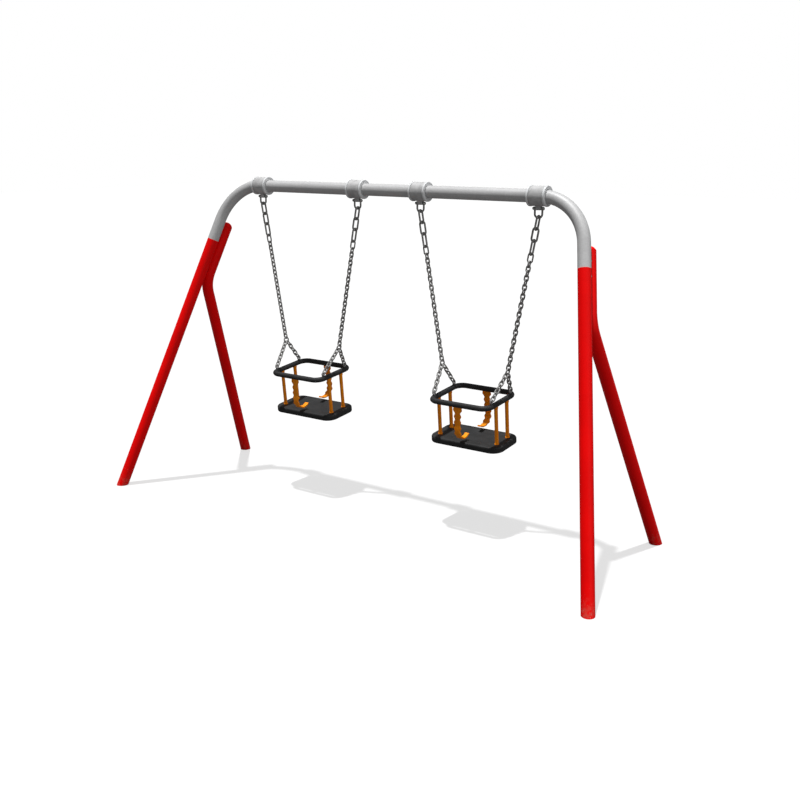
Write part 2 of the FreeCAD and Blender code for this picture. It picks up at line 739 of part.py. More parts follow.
def make_post_studs():
    studs = []
    bottom = pocket_height() - STUD_NUT_HEIGHT - STUD_TAIL
    for x, y in post_places():
        stud = rod(Vector(x, y, bottom), Vector(x, y, 0), STUD_RADIUS)
        studs.append(stud.cut(core_bar(1 if x > 0 else -1)).Solids[0])
    return studs


def make_stud_nuts():
    nuts = []
    for x, y in post_places():
        face = Vector(x, y, pocket_height())
        nut = hexagon(face, -Z_AXIS, STUD_NUT_ACROSS, STUD_NUT_HEIGHT)
        end = face - Z_AXIS * (STUD_NUT_HEIGHT + CUT_MARGIN)
        nuts.append(nut.cut(rod(face + Z_AXIS * CUT_MARGIN, end, STUD_RADIUS)))
    return nuts


def make_plate():
    """Stiffening plate inside the platform."""
    top = -PLATFORM_DROP - PLATE_DROP
    plate = rounded_block(PLATFORM_HALF_WIDTH - PLATE_MARGIN, PLATFORM_HALF_DEPTH - PLATE_MARGIN,
                          PLATFORM_CORNER - PLATE_MARGIN, top - PLATE_THICKNESS, top)
    for x, y in post_places():
        start = Vector(x, y, top + CUT_MARGIN)
        plate = plate.cut(rod(start, Vector(x, y, top - PLATE_THICKNESS - CUT_MARGIN), STUD_RADIUS))
    return plate


def make_platform():
    top = -PLATFORM_DROP
    bottom = top - PLATFORM_THICKNESS
    block = rounded_block(PLATFORM_HALF_WIDTH, PLATFORM_HALF_DEPTH, PLATFORM_CORNER, bottom, top)
    block = block.makeFillet(PLATFORM_TOP_ROUND, edges_at(block, top))
    block = block.makeFillet(PLATFORM_BOTTOM_ROUND, edges_at(block, bottom))
    dish = rounded_block(PLATFORM_HALF_WIDTH - DISH_MARGIN_X, PLATFORM_HALF_DEPTH - DISH_MARGIN_Y,
                         PLATFORM_CORNER - DISH_MARGIN_Y, top - DISH_DEPTH, top + DISH_DEPTH)
    dish = dish.makeChamfer(DISH_SLOPE, edges_at(dish, top - DISH_DEPTH))
    block = block.cut(dish)
    block = block.cut(make_plate())
    for x, y in post_places():
        low = Vector(x, y, bottom - CUT_MARGIN)
        block = block.cut(rod(low, Vector(x, y, top + CUT_MARGIN), STUD_RADIUS))
        block = block.cut(rod(low, Vector(x, y, pocket_height()), STUD_NUT_POCKET_RADIUS))
    return block.Solids[0]


def strap_section(start, along):
    """Flat section of the strap, across its path in the upright plane."""
    outward = unit(X_AXIS.cross(along))
    half = X_AXIS * (STRAP_WIDTH / 2)
    deep = outward * (STRAP_THICKNESS / 2)
    corners = [start - half - deep, start + half - deep, start + half + deep, start - half + deep]
    return Part.Face(Part.makePolygon(corners + corners[:1]))


def make_strap(fore):
    """Strap that hangs from the ring's front or rear bar and curves in over the platform."""
    top = Vector(0, fore * RING_HALF_DEPTH, 0)
    bend = Vector(0, fore * (RING_HALF_DEPTH + STRAP_LEAN), -STRAP_DROP)
    knee = bend - Y_AXIS * (fore * STRAP_REACH)
    tip = knee + Vector(0, -fore * STRAP_TIP, STRAP_TIP_RISE)
    first = corner_bend(top, bend, knee, STRAP_BEND)
    second = corner_bend(bend, knee, tip, STRAP_TIP_BEND)
    solids = []
    position = top
    for start, end, centre, axis, angle in (first, second):
        along = unit(start - position)
        solids.append(strap_section(position, along).extrude(start - position))
        solids.append(strap_section(start, along).revolve(centre, axis, angle))
        position = end
    along = unit(tip - position)
    solids.append(strap_section(position, along).extrude(tip - position))
    ring = ring_rod(RING_RADIUS)
    strap = joined(solids).cut(ring)
    strap = max(strap.Solids, key=lambda solid: solid.Volume)
    return strap.cut(strap_stud(fore)).Solids[0]


def make_strap_studs():
    core = ring_rod(CORE_RADIUS)
    return [strap_stud(fore).cut(core).Solids[0] for fore in (-1, 1)]


# ---------------------------------------------------------------- assembly
def foot_reach(along):
    """How far a foot's cut face reaches along Y from the leg's axis."""
    return TUBE_RADIUS * math.sqrt(1 - along.x ** 2) / abs(along.z)


def centring_shift():
    """Move that puts the origin at the middle of the frame's depth."""
    line = leg_axes(1)
    rear_along = unit(line.rear_foot - rear_leg_path(1)[1])
    front = FRONT_FOOT_Y - foot_reach(line.along)
    rear = REAR_FOOT_Y + foot_reach(rear_along)
    return -Y_AXIS * ((front + rear) / 2)


def frame_pieces():
    pieces = {"arch_tube": make_arch(), "joint_screws": make_joint_screws(),
              "foot_plugs": make_foot_plugs()}
    for name, side in SIDES.items():
        pieces[name + "_front_leg"] = make_front_leg(side)
        pieces[name + "_rear_leg"] = make_rear_leg(side)
        pieces[name + "_leg_cap"] = make_leg_cap(side)
        pieces[name + "_leg_welds"] = make_leg_welds(side)
        pieces[name + "_joint_sleeve"] = make_joint_sleeve(side)
    return pieces


def hanger_pieces():
    pieces = {}
    grubs = []
    for name, (inner_x, outer_x) in hanger_places().items():
        pieces[name + "_bushes"] = make_bushes(name)
        pieces[name + "_inner_collar"] = make_collar(inner_x)
        pieces[name + "_outer_collar"] = make_collar(outer_x)
        pair = (inner_x, outer_x)
        pieces[name + "_shackles"] = group([make_shackle(x) for x in pair])
        pieces[name + "_shackle_bolts"] = group([make_shackle_bolt(x) for x in pair])
        pieces[name + "_shackle_nuts"] = group([make_shackle_nut(x) for x in pair])
        for x in pair:
            grubs += grub_screws(x, GRUB_RADIUS)
    pieces["bush_screws"] = group(grubs)
    return pieces


def chain_and_seat_pieces():
    pieces = {}
    for name, side in SIDES.items():
        top_links = []
        upper = []
        lower = []
        eye_kinds = {}
        for way in (-1, 1):
            long_links, short_links = make_upper_chain(side, way)
            top_links += long_links
            upper += short_links
            for fore in (-1, 1):
                links, across_bar = make_lower_chain(side, way, fore)
                lower += links
                eye_kinds[(way, fore)] = across_bar
        pieces[name + "_top_links"] = group(top_links)
        pieces[name + "_upper_chains"] = group(upper)
        pieces[name + "_lower_chains"] = group(lower)
        pieces[name + "_split_rings"] = group([make_split_ring(side, way) for way in (-1, 1)])
        local = {
            "seat_ring": make_seat_ring(eye_kinds),
            "ring_core": ring_rod(CORE_RADIUS),
            "eye_bolts": group([make_eye_bolt(way, fore, kind) for (way, fore), kind in eye_kinds.items()]),
            "seat_posts": group(make_posts()),
            "post_studs": group(make_post_studs()),
            "stud_nuts": group(make_stud_nuts()),
            "seat_platform": make_platform(),
            "seat_plate": make_plate(),
            "front_strap": make_strap(-1),
            "rear_strap": make_strap(1),
            "strap_studs": group(make_strap_studs()),
        }
        for piece_name, shape in local.items():
            pieces[name + "_" + piece_name] = seated(shape, side)
    return pieces


def main():
    os.makedirs("parts", exist_ok=True)
    pieces = frame_pieces()
    pieces.update(hanger_pieces())
    pieces.update(chain_and_seat_pieces())
    shift = centring_shift()
    for name, shape in pieces.items():
        shape.translate(shift)
        if not shape.isValid():
            print("invalid shape:", name)
        shape.exportStep(os.path.join("parts", name + ".step"))
    print(len(pieces), "nodes,", sum(len(shape.Solids) for shape in pieces.values()), "solids")


main()
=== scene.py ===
"""Looks of a two-seat swing set: an arched tube frame, chains and cradle seats.

Metres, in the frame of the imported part. Each group of pieces has an operator of its own.
"""

import json
import math

import bmesh
import bpy
from mathutils import Matrix, Vector


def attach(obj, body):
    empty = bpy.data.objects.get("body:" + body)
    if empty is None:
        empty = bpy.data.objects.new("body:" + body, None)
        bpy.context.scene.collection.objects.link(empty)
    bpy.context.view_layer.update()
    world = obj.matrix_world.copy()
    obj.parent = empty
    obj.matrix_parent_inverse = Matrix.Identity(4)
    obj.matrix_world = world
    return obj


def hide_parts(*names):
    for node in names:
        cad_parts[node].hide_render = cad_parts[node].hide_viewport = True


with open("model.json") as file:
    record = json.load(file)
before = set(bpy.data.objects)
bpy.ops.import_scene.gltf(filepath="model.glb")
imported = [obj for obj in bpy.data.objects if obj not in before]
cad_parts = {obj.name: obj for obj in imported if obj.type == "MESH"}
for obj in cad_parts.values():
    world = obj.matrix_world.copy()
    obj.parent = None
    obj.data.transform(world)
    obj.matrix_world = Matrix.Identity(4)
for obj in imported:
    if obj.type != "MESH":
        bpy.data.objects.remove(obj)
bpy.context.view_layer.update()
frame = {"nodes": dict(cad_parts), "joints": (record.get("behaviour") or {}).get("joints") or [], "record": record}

bl_info = {
    "name": "Swing set",
    "version": (1, 0, 0),
    "blender": (4, 5, 0),
    "location": "3D View > Sidebar > Swing set",
    "description": "Builds the pieces of a swing set round its packed frame",
    "category": "Object",
}

SIDES = {"left": -1, "right": 1}
X_AXIS = Vector((1, 0, 0))
Y_AXIS = Vector((0, 1, 0))
Z_AXIS = Vector((0, 0, 1))
HINGES = {joint["name"]: Vector(joint["pos_m"]) for joint in frame["joints"]}
BAR = Vector((0, HINGES["right_hanger_swing"].y, HINGES["right_hanger_swing"].z))
PIN_Z = HINGES["right_shackle_swing"].z
SWING_X = HINGES["right_hanger_swing"].x


def length(name, default, description):
    return bpy.props.FloatProperty(name=name, description=description, default=default,
                                   min=0, precision=4, unit="LENGTH")


def place(name, default, description):
    return bpy.props.FloatVectorProperty(name=name, description=description, default=default,
                                         size=3, precision=4, subtype="TRANSLATION")


def colour(name, default, description):
    return bpy.props.FloatVectorProperty(name=name, description=description, default=default,
                                         size=3, min=0, max=1, subtype="COLOR")


# ---------------------------------------------------------------- what a user may change
class FrameSizes(bpy.types.PropertyGroup):
    tube: length("Tube diameter", 0.0635, "Outside of every frame tube")
    arch_bend: length("Arch bend", 0.271, "Radius of the two bends of the arch tube")
    kink_bend: length("Rear leg bend", 0.180, "Radius of the bend of a rear leg")
    corner: place("Corner", (1.111, 0, 0), "Where bar and leg axes meet, from the bar's middle")
    front_foot: place("Front foot", (1.523, -0.623, 0), "Front foot, from below the bar's middle")
    rear_foot: place("Rear foot", (1.438, 0.345, 0), "Rear foot, from below the bar's middle")
    joint: length("Joint", 0.334, "Corner to the joint of arch and front leg")
    kink: length("Kink", 0.586, "Corner to the bend of the rear leg")
    rear_top: length("Rear leg top", 0.214, "Corner to the tip of the rear leg's cap")
    cap: length("Cap height", 0.022, "Height of the domed cap")
    leg_gap: length("Leg gap", 0.0003, "Between the two parallel legs of one side")
    rim: length("Tube rim", 0.0016, "Rounding of a tube's cut end")
    weld_start: length("Weld start", 0.060, "Joint to the upper end of the welds")
    weld_end: length("Weld end", 0.170, "Joint to the lower end of the welds")


class HangerSizes(bpy.types.PropertyGroup):
    half_spacing: length("Half spacing", 0.339, "Middle of a swing to each hanger")
    collar: length("Collar radius", 0.0475, "Outside of the collar")
    collar_length: length("Collar length", 0.075, "Length of the collar along the bar")
    bore: length("Collar bore", 0.0369, "Radius of the hole through the collar")
    flange: length("Flange radius", 0.0495, "Outside of the bush flanges")
    flange_width: length("Flange width", 0.0107, "Thickness of a bush flange")
    gap: length("Gap", 0.0007, "Between flange and collar")
    lug_width: length("Lug width", 0.0286, "Width of the lug along the bar")
    lug_depth: length("Lug depth", 0.024, "Depth of the lug")
    lug_drop: length("Lug drop", 0.066, "Bar axis to the lug's lower face")
    rod: length("Shackle rod", 0.010, "Thickness of the shackle")
    spacing: length("Shackle spacing", 0.040, "Between the strands of the shackle")
    drop: length("Shackle drop", 0.044, "Bolt to the bottom of the bow")
    eye: length("Shackle eye", 0.009, "Radius of the shackle's eyes")


class ChainSizes(bpy.types.PropertyGroup):
    slack: length("Slack", 0.0004, "Left between linked pieces")
    long_wire: length("Long link wire", 0.010, "Wire of the long links")
    long_width: length("Long link width", 0.030, "Between the sides of a long link")
    long_pitch: length("Long link pitch", 0.058, "Pitch of the first two long links")
    last_pitch: length("Last long pitch", 0.065, "Pitch of the third long link")
    middle_width: length("Middle link width", 0.026, "Between the sides of the middle link")
    middle_pitch: length("Middle link pitch", 0.040, "Pitch of the middle link")
    wire: length("Wire", 0.008, "Wire of the short links")
    width: length("Link width", 0.020, "Between the sides of a short link")
    pitch: length("Pitch", 0.0232, "Wanted pitch of the short links")
    split_half: length("Split spacing", 0.196, "Middle of a swing to each split ring")
    split_height: length("Split height", 0.869, "Ground to the split rings")
    split_ring: length("Split ring", 0.017, "Centre line radius of a split ring")


class SeatSizes(bpy.types.PropertyGroup):
    height: length("Height", 0.717, "Ground to the axis of the top ring")
    recline: bpy.props.FloatProperty(name="Recline", description="How far the seat leans back",
                                     default=math.radians(5.7), subtype="ANGLE")
    balance: length("Balance", 0.150, "Top ring to the seat's centre of mass")
    half_width: length("Ring half width", 0.172, "Middle to the axis of a side bar")
    half_depth: length("Ring half depth", 0.142, "Middle to the axis of the front bar")
    corner: length("Ring corner", 0.048, "Bend of the ring's corners")
    rod: length("Ring rod", 0.0286, "Thickness of the top ring")
    eye_offset: length("Eye offset", 0.096, "Front or rear of the middle of a side bar")
    eye: length("Eye radius", 0.010, "Centre line of an eye")
    eye_sink: length("Eye sink", 0.001, "How far an eye sinks into the ring")
    post: length("Post radius", 0.010, "Radius of the posts")
    post_offset: length("Post offset", 0.054, "Front or rear of the middle of a side bar")
    platform_drop: length("Platform drop", 0.212, "Top ring to the platform's upper face")
    thickness: length("Platform thickness", 0.034, "Thickness of the platform")
    platform_x: length("Platform half width", 0.214, "Half the platform's width")
    platform_y: length("Platform half depth", 0.118, "Half the platform's depth")
    platform_corner: length("Platform corner", 0.060, "Corner radius of the platform")
    dish: length("Dish", 0.0045, "How deep the platform's upper face is hollowed")
    strap_width: length("Strap width", 0.0365, "Width of the straps")
    strap_thickness: length("Strap thickness", 0.009, "Thickness of the straps")
    strap_lean: length("Strap lean", 0.013, "How far a strap stands out at its bend")
    strap_drop: length("Strap drop", 0.190, "Top ring to the strap's lower run")
    strap_reach: length("Strap reach", 0.072, "Bend to the corner before the tip")
    strap_bend: length("Strap bend", 0.052, "Radius of the bend at the foot of a strap")
    strap_knee: length("Strap knee", 0.020, "Radius of the bend before the tip")
    strap_tip: length("Strap tip", 0.022, "Length of the upturned tip")
    strap_rise: length("Strap rise", 0.009, "Height of the upturned tip")
    scallop: length("Scallop", 0.0031, "Height of the waves along the strap's edges")
    scallop_period: length("Scallop period", 0.031, "Length of one wave")
    flare: length("Flare", 0.010, "How much wider the strap is at the ring, each side")


class Finishes(bpy.types.PropertyGroup):
    tube_light: colour("Galvanised light", (0.53, 0.53, 0.532), "Light grains of the zinc")
    tube_dark: colour("Galvanised dark", (0.47, 0.47, 0.472), "Dark grains of the zinc")
    red: colour("Red coat", (0.86, 0.0, 0.0), "Powder coat of the legs")
    red_deep: colour("Red coat, deep", (0.78, 0.0, 0.0), "Thicker parts of the coat")
    collar: colour("Collar", (0.53, 0.53, 0.532), "Coat of the cast collars")
    bush: colour("Bush", (0.74, 0.75, 0.76), "Polymer of the bushes")
    chain_light: colour("Chain light", (0.40, 0.398, 0.39), "Rubbed steel")
    chain_dark: colour("Chain dark", (0.19, 0.188, 0.183), "Dull steel")
    rubber: colour("Rubber", (0.012, 0.0125, 0.013), "Moulded rubber")
    bloom: colour("Rubber bloom", (0.026, 0.0265, 0.0275), "Grey bloom on the rubber")
    orange: colour("Orange", (0.86, 0.235, 0.0), "Moulded polymer")
    # Paler polymer in random clouds, and also the painted highlight on the upturned strap tips.
    orange_pale_and_tip_highlight: colour("Orange light", (1.0, 0.34, 0.012), "Paler parts of the polymer")
    zinc: colour("Zinc", (0.55, 0.55, 0.54), "Plated bolts and nuts")


# ---------------------------------------------------------------- nodes
class Amount:
    """A number in a node tree that can be used in a Python expression."""

    def __init__(self, nodes, socket):
        self.nodes = nodes
        self.socket = socket

    def sum(self, operation, first, second=0.0):
        node = self.nodes.make("ShaderNodeMath", {"operation": operation}, {0: first, 1: second})
        return Amount(self.nodes, node.outputs[0])

    def __add__(self, other):
        return self.sum("ADD", self, other)

    def __radd__(self, other):
        return self.sum("ADD", other, self)

    def __sub__(self, other):
        return self.sum("SUBTRACT", self, other)

    def __rsub__(self, other):
        return self.sum("SUBTRACT", other, self)

    def __mul__(self, other):
        return self.sum("MULTIPLY", self, other)

    def __rmul__(self, other):
        return self.sum("MULTIPLY", other, self)

    def __truediv__(self, other):
        return self.sum("DIVIDE", self, other)

    def __pow__(self, other):
        return self.sum("POWER", self, other)

    def __mod__(self, other):
        return self.sum("FLOORED_MODULO", self, other)

    def __gt__(self, other):
        return self.sum("GREATER_THAN", self, other)

    def __lt__(self, other):
        return self.sum("LESS_THAN", self, other)

    def __abs__(self):
        return self.sum("ABSOLUTE", self)

    def cosine(self):
        return self.sum("COSINE", self)

    def rise(self, low, high):
        """0 below low and 1 above high, with a soft change between; low may be the larger."""
        node = self.nodes.make("ShaderNodeMapRange", {"interpolation_type": "SMOOTHSTEP"},
                               {"Value": self, "From Min": low, "From Max": high})
        return Amount(self.nodes, node.outputs["Result"])


class Nodes:
    """Makes the nodes of one tree."""

    def __init__(self, tree):
        self.tree = tree

    def make(self, kind, settings=None, inputs=None):
        node = self.tree.nodes.new(kind)
        for key, value in (settings or {}).items():
            if key == "stops":
                self.set_stops(node.color_ramp, value)
            else:
                setattr(node, key, value)
        for key, value in (inputs or {}).items():
            socket = node.inputs[key]
            if isinstance(value, Amount):
                self.tree.links.new(value.socket, socket)
            elif isinstance(value, bpy.types.NodeSocket):
                self.tree.links.new(value, socket)
            else:
                socket.default_value = value
        return node

    def set_stops(self, ramp, stops):
        for index, (position, shade) in enumerate(stops):
            stop = ramp.elements[index] if index < 2 else ramp.elements.new(position)
            stop.position = position
            stop.color = shade

    def amount(self, kind, settings=None, inputs=None, output=0):
        return Amount(self, self.make(kind, settings, inputs).outputs[output])


class Finish(Nodes):
    """A material in the making: colour, roughness and surface from object coordinates."""

    def __init__(self, name):
        self.material = bpy.data.materials.new(name)
        self.material.use_nodes = True
        super().__init__(self.material.node_tree)
        self.shader = self.tree.nodes["Principled BSDF"]
        self.where = self.make("ShaderNodeTexCoord").outputs["Object"]

    def stretched(self, scale):
        node = self.make("ShaderNodeMapping", None, {"Vector": self.where, "Scale": scale})
        return node.outputs[0]

    def noise(self, scale, detail=3.0, roughness=0.55, stretch=None):
        where = self.stretched(stretch) if stretch else self.where
        return self.amount("ShaderNodeTexNoise", None,
                           {"Vector": where, "Scale": scale, "Detail": detail,
                            "Roughness": roughness}, "Fac")

    def cells(self, scale):
        return self.amount("ShaderNodeTexVoronoi", None,
                           {"Vector": self.where, "Scale": scale}, "Distance")

    def grains(self, scale):
        """A random number for each cell."""
        cell = self.make("ShaderNodeTexVoronoi", None, {"Vector": self.where, "Scale": scale})
        return self.amount("ShaderNodeSeparateColor", None, {"Color": cell.outputs["Color"]})

    def height(self):
        return self.amount("ShaderNodeSeparateXYZ", None, {"Vector": self.where}, "Z")

    def stored(self, name):
        return self.amount("ShaderNodeAttribute", {"attribute_name": name}, None, "Fac")

    def mixed(self, factor, first, second):
        node = self.make("ShaderNodeMix", {"data_type": "RGBA"}, {0: factor})
        for index, shade in ((6, first), (7, second)):
            if isinstance(shade, bpy.types.NodeSocket):
                self.tree.links.new(shade, node.inputs[index])
            else:
                node.inputs[index].default_value = (*shade, 1)
        return node.outputs[2]

    def surface(self, **sockets):
        """Sets the shader's own sockets, by name with _ for a space."""
        for name, value in sockets.items():
            socket = self.shader.inputs[name.replace("_", " ")]
            if isinstance(value, Amount):
                self.tree.links.new(value.socket, socket)
            elif isinstance(value, bpy.types.NodeSocket):
                self.tree.links.new(value, socket)
            else:
                socket.default_value = value

    def bumped(self, height, distance, strength=1.0):
        bump = self.make("ShaderNodeBump", None,
                         {"Height": height, "Distance": distance, "Strength": strength})
        self.tree.links.new(bump.outputs[0], self.shader.inputs["Normal"])


# ---------------------------------------------------------------- finishes
def galvanised_tube(shades):
    zinc = Finish("galvanised_tube")
    cloud = zinc.noise(9.0, 4.0)
    grain = zinc.grains(170.0) * 0.5 + zinc.grains(420.0) * 0.2 + cloud * 0.5
    streak = zinc.noise(60.0, 2.0, 0.5, (0.08, 1.0, 1.0)).rise(0.52, 0.75)
    tone = zinc.mixed(grain.rise(0.2, 1.0), shades.tube_dark, shades.tube_light)
    tone = zinc.mixed(streak * 0.15, tone, (0.36, 0.36, 0.37))
    zinc.surface(Base_Color=tone, Metallic=0.15, Roughness=0.48 + 0.14 * cloud - 0.05 * streak,
                 Specular_IOR_Level=0.25)
    zinc.bumped(zinc.noise(700.0, 2.0) * 0.6 + cloud * 0.4, 0.0004, 0.12)
    return zinc.material


def red_coat(shades):
    coat = Finish("red_coat")
    cloud = coat.noise(5.0, 4.0)
    dust = coat.height().rise(0.10, 0.0) * coat.noise(38.0, 5.0, 0.65).rise(0.42, 0.68)
    rim = coat.stored("from_top").rise(0.0042, 0.0030) * coat.stored("bare")
    chips = coat.noise(210.0, 3.0, 0.6).rise(0.66, 0.70) * coat.height().rise(0.16, 0.01)
    tone = coat.mixed(cloud.rise(0.35, 0.7), shades.red_deep, shades.red)
    tone = coat.mixed(dust * 0.35, tone, (0.30, 0.19, 0.14))
    bare = rim * 0.9 + chips * 0.6
    tone = coat.mixed(bare, tone, (0.62, 0.52, 0.50))
    peel = coat.noise(330.0, 2.0, 0.5)
    coat.surface(Base_Color=tone, Roughness=0.42 + 0.10 * cloud + 0.30 * dust,
                 Specular_IOR_Level=0.10)
    coat.bumped(peel * 0.8 + chips * -0.4, 0.0006, 0.16)
    return coat.material


def collar_coat(shades):
    cast = Finish("collar_coat")
    pits = cast.noise(240.0, 4.0, 0.6)
    cloud = cast.noise(22.0, 3.0)
    deep = tuple(0.72 * part for part in shades.collar)
    tone = cast.mixed(cloud.rise(0.3, 0.7), deep, shades.collar)
    tone = cast.mixed(pits.rise(0.62, 0.75) * 0.4, tone, (0.55, 0.55, 0.55))
    cast.surface(Base_Color=tone, Metallic=0.10, Roughness=0.55 + 0.12 * pits,
                 Specular_IOR_Level=0.25)
    cast.bumped(pits, 0.0007, 0.5)
    return cast.material


def bush_polymer(shades):
    polymer = Finish("bush_polymer")
    cloud = polymer.noise(35.0, 4.0)
    turned = polymer.noise(900.0, 1.0, 0.5, (1.0, 0.02, 0.02))
    shaded = tuple(0.86 * part for part in shades.bush)
    polymer.surface(Base_Color=polymer.mixed(cloud, shaded, shades.bush),
                    Roughness=0.38 + 0.12 * cloud)
    polymer.bumped(turned * 0.6 + cloud * 0.4, 0.0004, 0.2)
    return polymer.material


def chain_steel(shades):
    steel = Finish("chain_steel")
    cloud = steel.noise(120.0, 5.0, 0.6)
    spots = steel.noise(420.0, 3.0, 0.6)
    worn = steel.stored("worn")
    lit = (cloud.rise(0.35, 0.68) * 0.75 + spots.rise(0.5, 0.75) * 0.25) * (1 - worn) + worn
    tone = steel.mixed(lit, shades.chain_dark, shades.chain_light)
    rust = spots.rise(0.66, 0.74) * cloud.rise(0.5, 0.6) * (1 - worn)
    tone = steel.mixed(rust * 0.35, tone, (0.17, 0.085, 0.045))
    steel.surface(Base_Color=tone, Metallic=0.30, Roughness=0.52 - 0.20 * worn + 0.12 * spots)
    steel.bumped(spots * 0.6 + cloud * 0.4, 0.0006, 0.5)
    return steel.material


def zinc_plate(shades):
    plate = Finish("zinc_plate")
    cloud = plate.noise(150.0, 4.0)
    dull = tuple(0.7 * part for part in shades.zinc)
    plate.surface(Base_Color=plate.mixed(cloud.rise(0.3, 0.7), dull, shades.zinc), Metallic=0.85,
                  Roughness=0.30 + 0.16 * cloud)
    plate.bumped(plate.noise(900.0, 2.0) * 0.5 + cloud * 0.5, 0.0004, 0.3)
    return plate.material


def moulded_rubber(shades):
    rubber = Finish("moulded_rubber")
    cloud = rubber.noise(14.0, 5.0, 0.6)
    grain = rubber.noise(620.0, 2.0, 0.6)
    pores = rubber.cells(900.0)
    scuff = rubber.noise(48.0, 4.0, 0.6, (0.35, 1.0, 1.0)).rise(0.55, 0.8)
    tone = rubber.mixed(cloud.rise(0.35, 0.75) * 0.7 + scuff * 0.25, shades.rubber, shades.bloom)
    rubber.surface(Base_Color=tone, Roughness=0.55 + 0.14 * cloud + 0.08 * scuff,
                   Specular_IOR_Level=0.32)
    rubber.bumped(grain * 0.7 + pores * 0.3, 0.0008, 0.35)
    return rubber.material


def orange_polymer(shades):
    polymer = Finish("orange_polymer")
    cloud = polymer.noise(26.0, 4.0, 0.55)
    # tip: the upturned end of a strap, painted paler as a painted highlight where it faces the overhead light.
    tip = polymer.stored("tip")
    flow = polymer.noise(34.0, 3.0, 0.5, (1.0, 1.0, 0.18))
    tone = polymer.mixed(cloud.rise(0.3, 0.75) * 0.4 + flow.rise(0.5, 0.75) * 0.3 + tip * 0.5,
                         shades.orange, shades.orange_pale_and_tip_highlight)
    polymer.surface(Base_Color=tone, Roughness=0.48 + 0.12 * cloud, Specular_IOR_Level=0.18)
    polymer.bumped(polymer.noise(520.0, 2.0) * 0.7 + flow * 0.3, 0.0005, 0.22)
    return polymer.material


def black_plastic(shades):
    plastic = Finish("black_plastic")
    cloud = plastic.noise(60.0, 4.0)
    dust = plastic.height().rise(0.012, 0.0) * plastic.noise(200.0, 4.0)
    tone = plastic.mixed(cloud * 0.5 + dust * 0.5, shades.rubber, (0.09, 0.085, 0.08))
    plastic.surface(Base_Color=tone, Roughness=0.45 + 0.2 * cloud)
    plastic.bumped(plastic.noise(600.0, 2.0), 0.0004, 0.25)
    return plastic.material


def pale_floor():
    floor = Finish("pale_floor")
    cloud = floor.noise(0.8, 3.0)
    tone = floor.mixed(cloud, (0.23, 0.23, 0.23), (0.25, 0.25, 0.25))
    seen = floor.amount("ShaderNodeLightPath", None, None, "Is Camera Ray")
    floor.surface(Base_Color=floor.mixed(seen, (0.12, 0.12, 0.12), tone), Roughness=0.95,
                  Specular_IOR_Level=0.0,
                  Emission_Color=floor.mixed(seen, (0, 0, 0), (0.68, 0.68, 0.68)),
                  Emission_Strength=1.0)
    floor.bumped(floor.noise(40.0, 3.0), 0.001, 0.05)
    return floor.material


MAKERS = {
    "galvanised_tube": galvanised_tube, "red_paint": red_coat, "collar_steel": collar_coat,
    "pale_polymer": bush_polymer, "chain_steel": chain_steel, "zinc_fixings": zinc_plate,
    "inner_steel": zinc_plate, "inner_aluminium": zinc_plate, "black_rubber": moulded_rubber,
    "orange_polymer": orange_polymer, "black_plastic": black_plastic,
}
MADE = {}


def finish_for(slot):
    """The material of one of the record's slots, made once."""
    maker = MAKERS[slot]
    if maker not in MADE:
        MADE[maker] = maker(bpy.context.scene.swing_finishes)
    return MADE[maker]


# ---------------------------------------------------------------- pieces
def settle(mesh, name, body, slot, nodes=()):
    """Turns a mesh into a finished piece that rides on a body and stands for CAD nodes."""
    mesh.name = name
    piece = bpy.data.objects.new(name, mesh)
    bpy.context.scene.collection.objects.link(piece)
    mesh.materials.clear()
    mesh.materials.append(finish_for(slot))
    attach(piece, body)
    if nodes:
        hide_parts(*nodes)
    return piece


def drawn(shape, name):
    """The mesh of a bmesh, which is freed."""
    mesh = bpy.data.meshes.new(name)
    shape.to_mesh(mesh)
    shape.free()
    return mesh


def merged(meshes):
    """One mesh out of several, which are removed."""
    whole = bmesh.new()
    for mesh in meshes:
        whole.from_mesh(mesh)
    result = drawn(whole, "merged")
    for mesh in meshes:
        bpy.data.meshes.remove(mesh)
    return result


def evaluated(mesh, *modifiers):
    """The mesh as it is after (kind, settings) modifiers, which are then gone."""
    holder = bpy.data.objects.new("holder", mesh)
    bpy.context.scene.collection.objects.link(holder)
    for kind, settings in modifiers:
        modifier = holder.modifiers.new(kind, kind)
        for key, value in settings.items():
            setattr(modifier, key, value)
    graph = bpy.context.evaluated_depsgraph_get()
    result = bpy.data.meshes.new_from_object(holder.evaluated_get(graph))
    bpy.data.objects.remove(holder)
    bpy.data.meshes.remove(mesh)
    return result


def grown(tree, mesh, **values):
    """The plain mesh that a geometry tree makes from a mesh and its named inputs."""
    holder = bpy.data.objects.new("holder", mesh)
    bpy.context.scene.collection.objects.link(holder)
    modifier = holder.modifiers.new("nodes", "NODES")
    modifier.node_group = tree
    keys = {item.name: item.identifier for item in tree.interface.items_tree
            if item.in_out == "INPUT"}
    for name, value in values.items():
        modifier[keys[name.replace("_", " ")]] = value
    holder.update_tag()
    graph = bpy.context.evaluated_depsgraph_get()
    result = bpy.data.meshes.new_from_object(holder.evaluated_get(graph))
    holder.modifiers.remove(modifier)
    bpy.data.objects.remove(holder)
    bpy.data.meshes.remove(mesh)
    return result


def path_mesh(points, bends=None, closed=False, girths=None):
    """A chain of edges with the bend radius and the relative thickness at each point."""
    count = len(points)
    edges = [(index, index + 1) for index in range(count - 1)]
    if closed:
        edges.append((count - 1, 0))
    mesh = bpy.data.meshes.new("path")
    mesh.from_pydata([tuple(point) for point in points], edges, [])
    for name, values in (("bend", bends or [0.0] * count), ("girth", girths or [1.0] * count)):
        layer = mesh.attributes.new(name, "FLOAT", "POINT")
        layer.data.foreach_set("value", values)
    return mesh


def smooth(mesh, angle=40.0):
    """Smooth shading with sharp edges where faces meet at more than the angle."""
    mesh.shade_smooth()
    mesh.set_sharp_from_angle(angle=math.radians(angle))
    return mesh


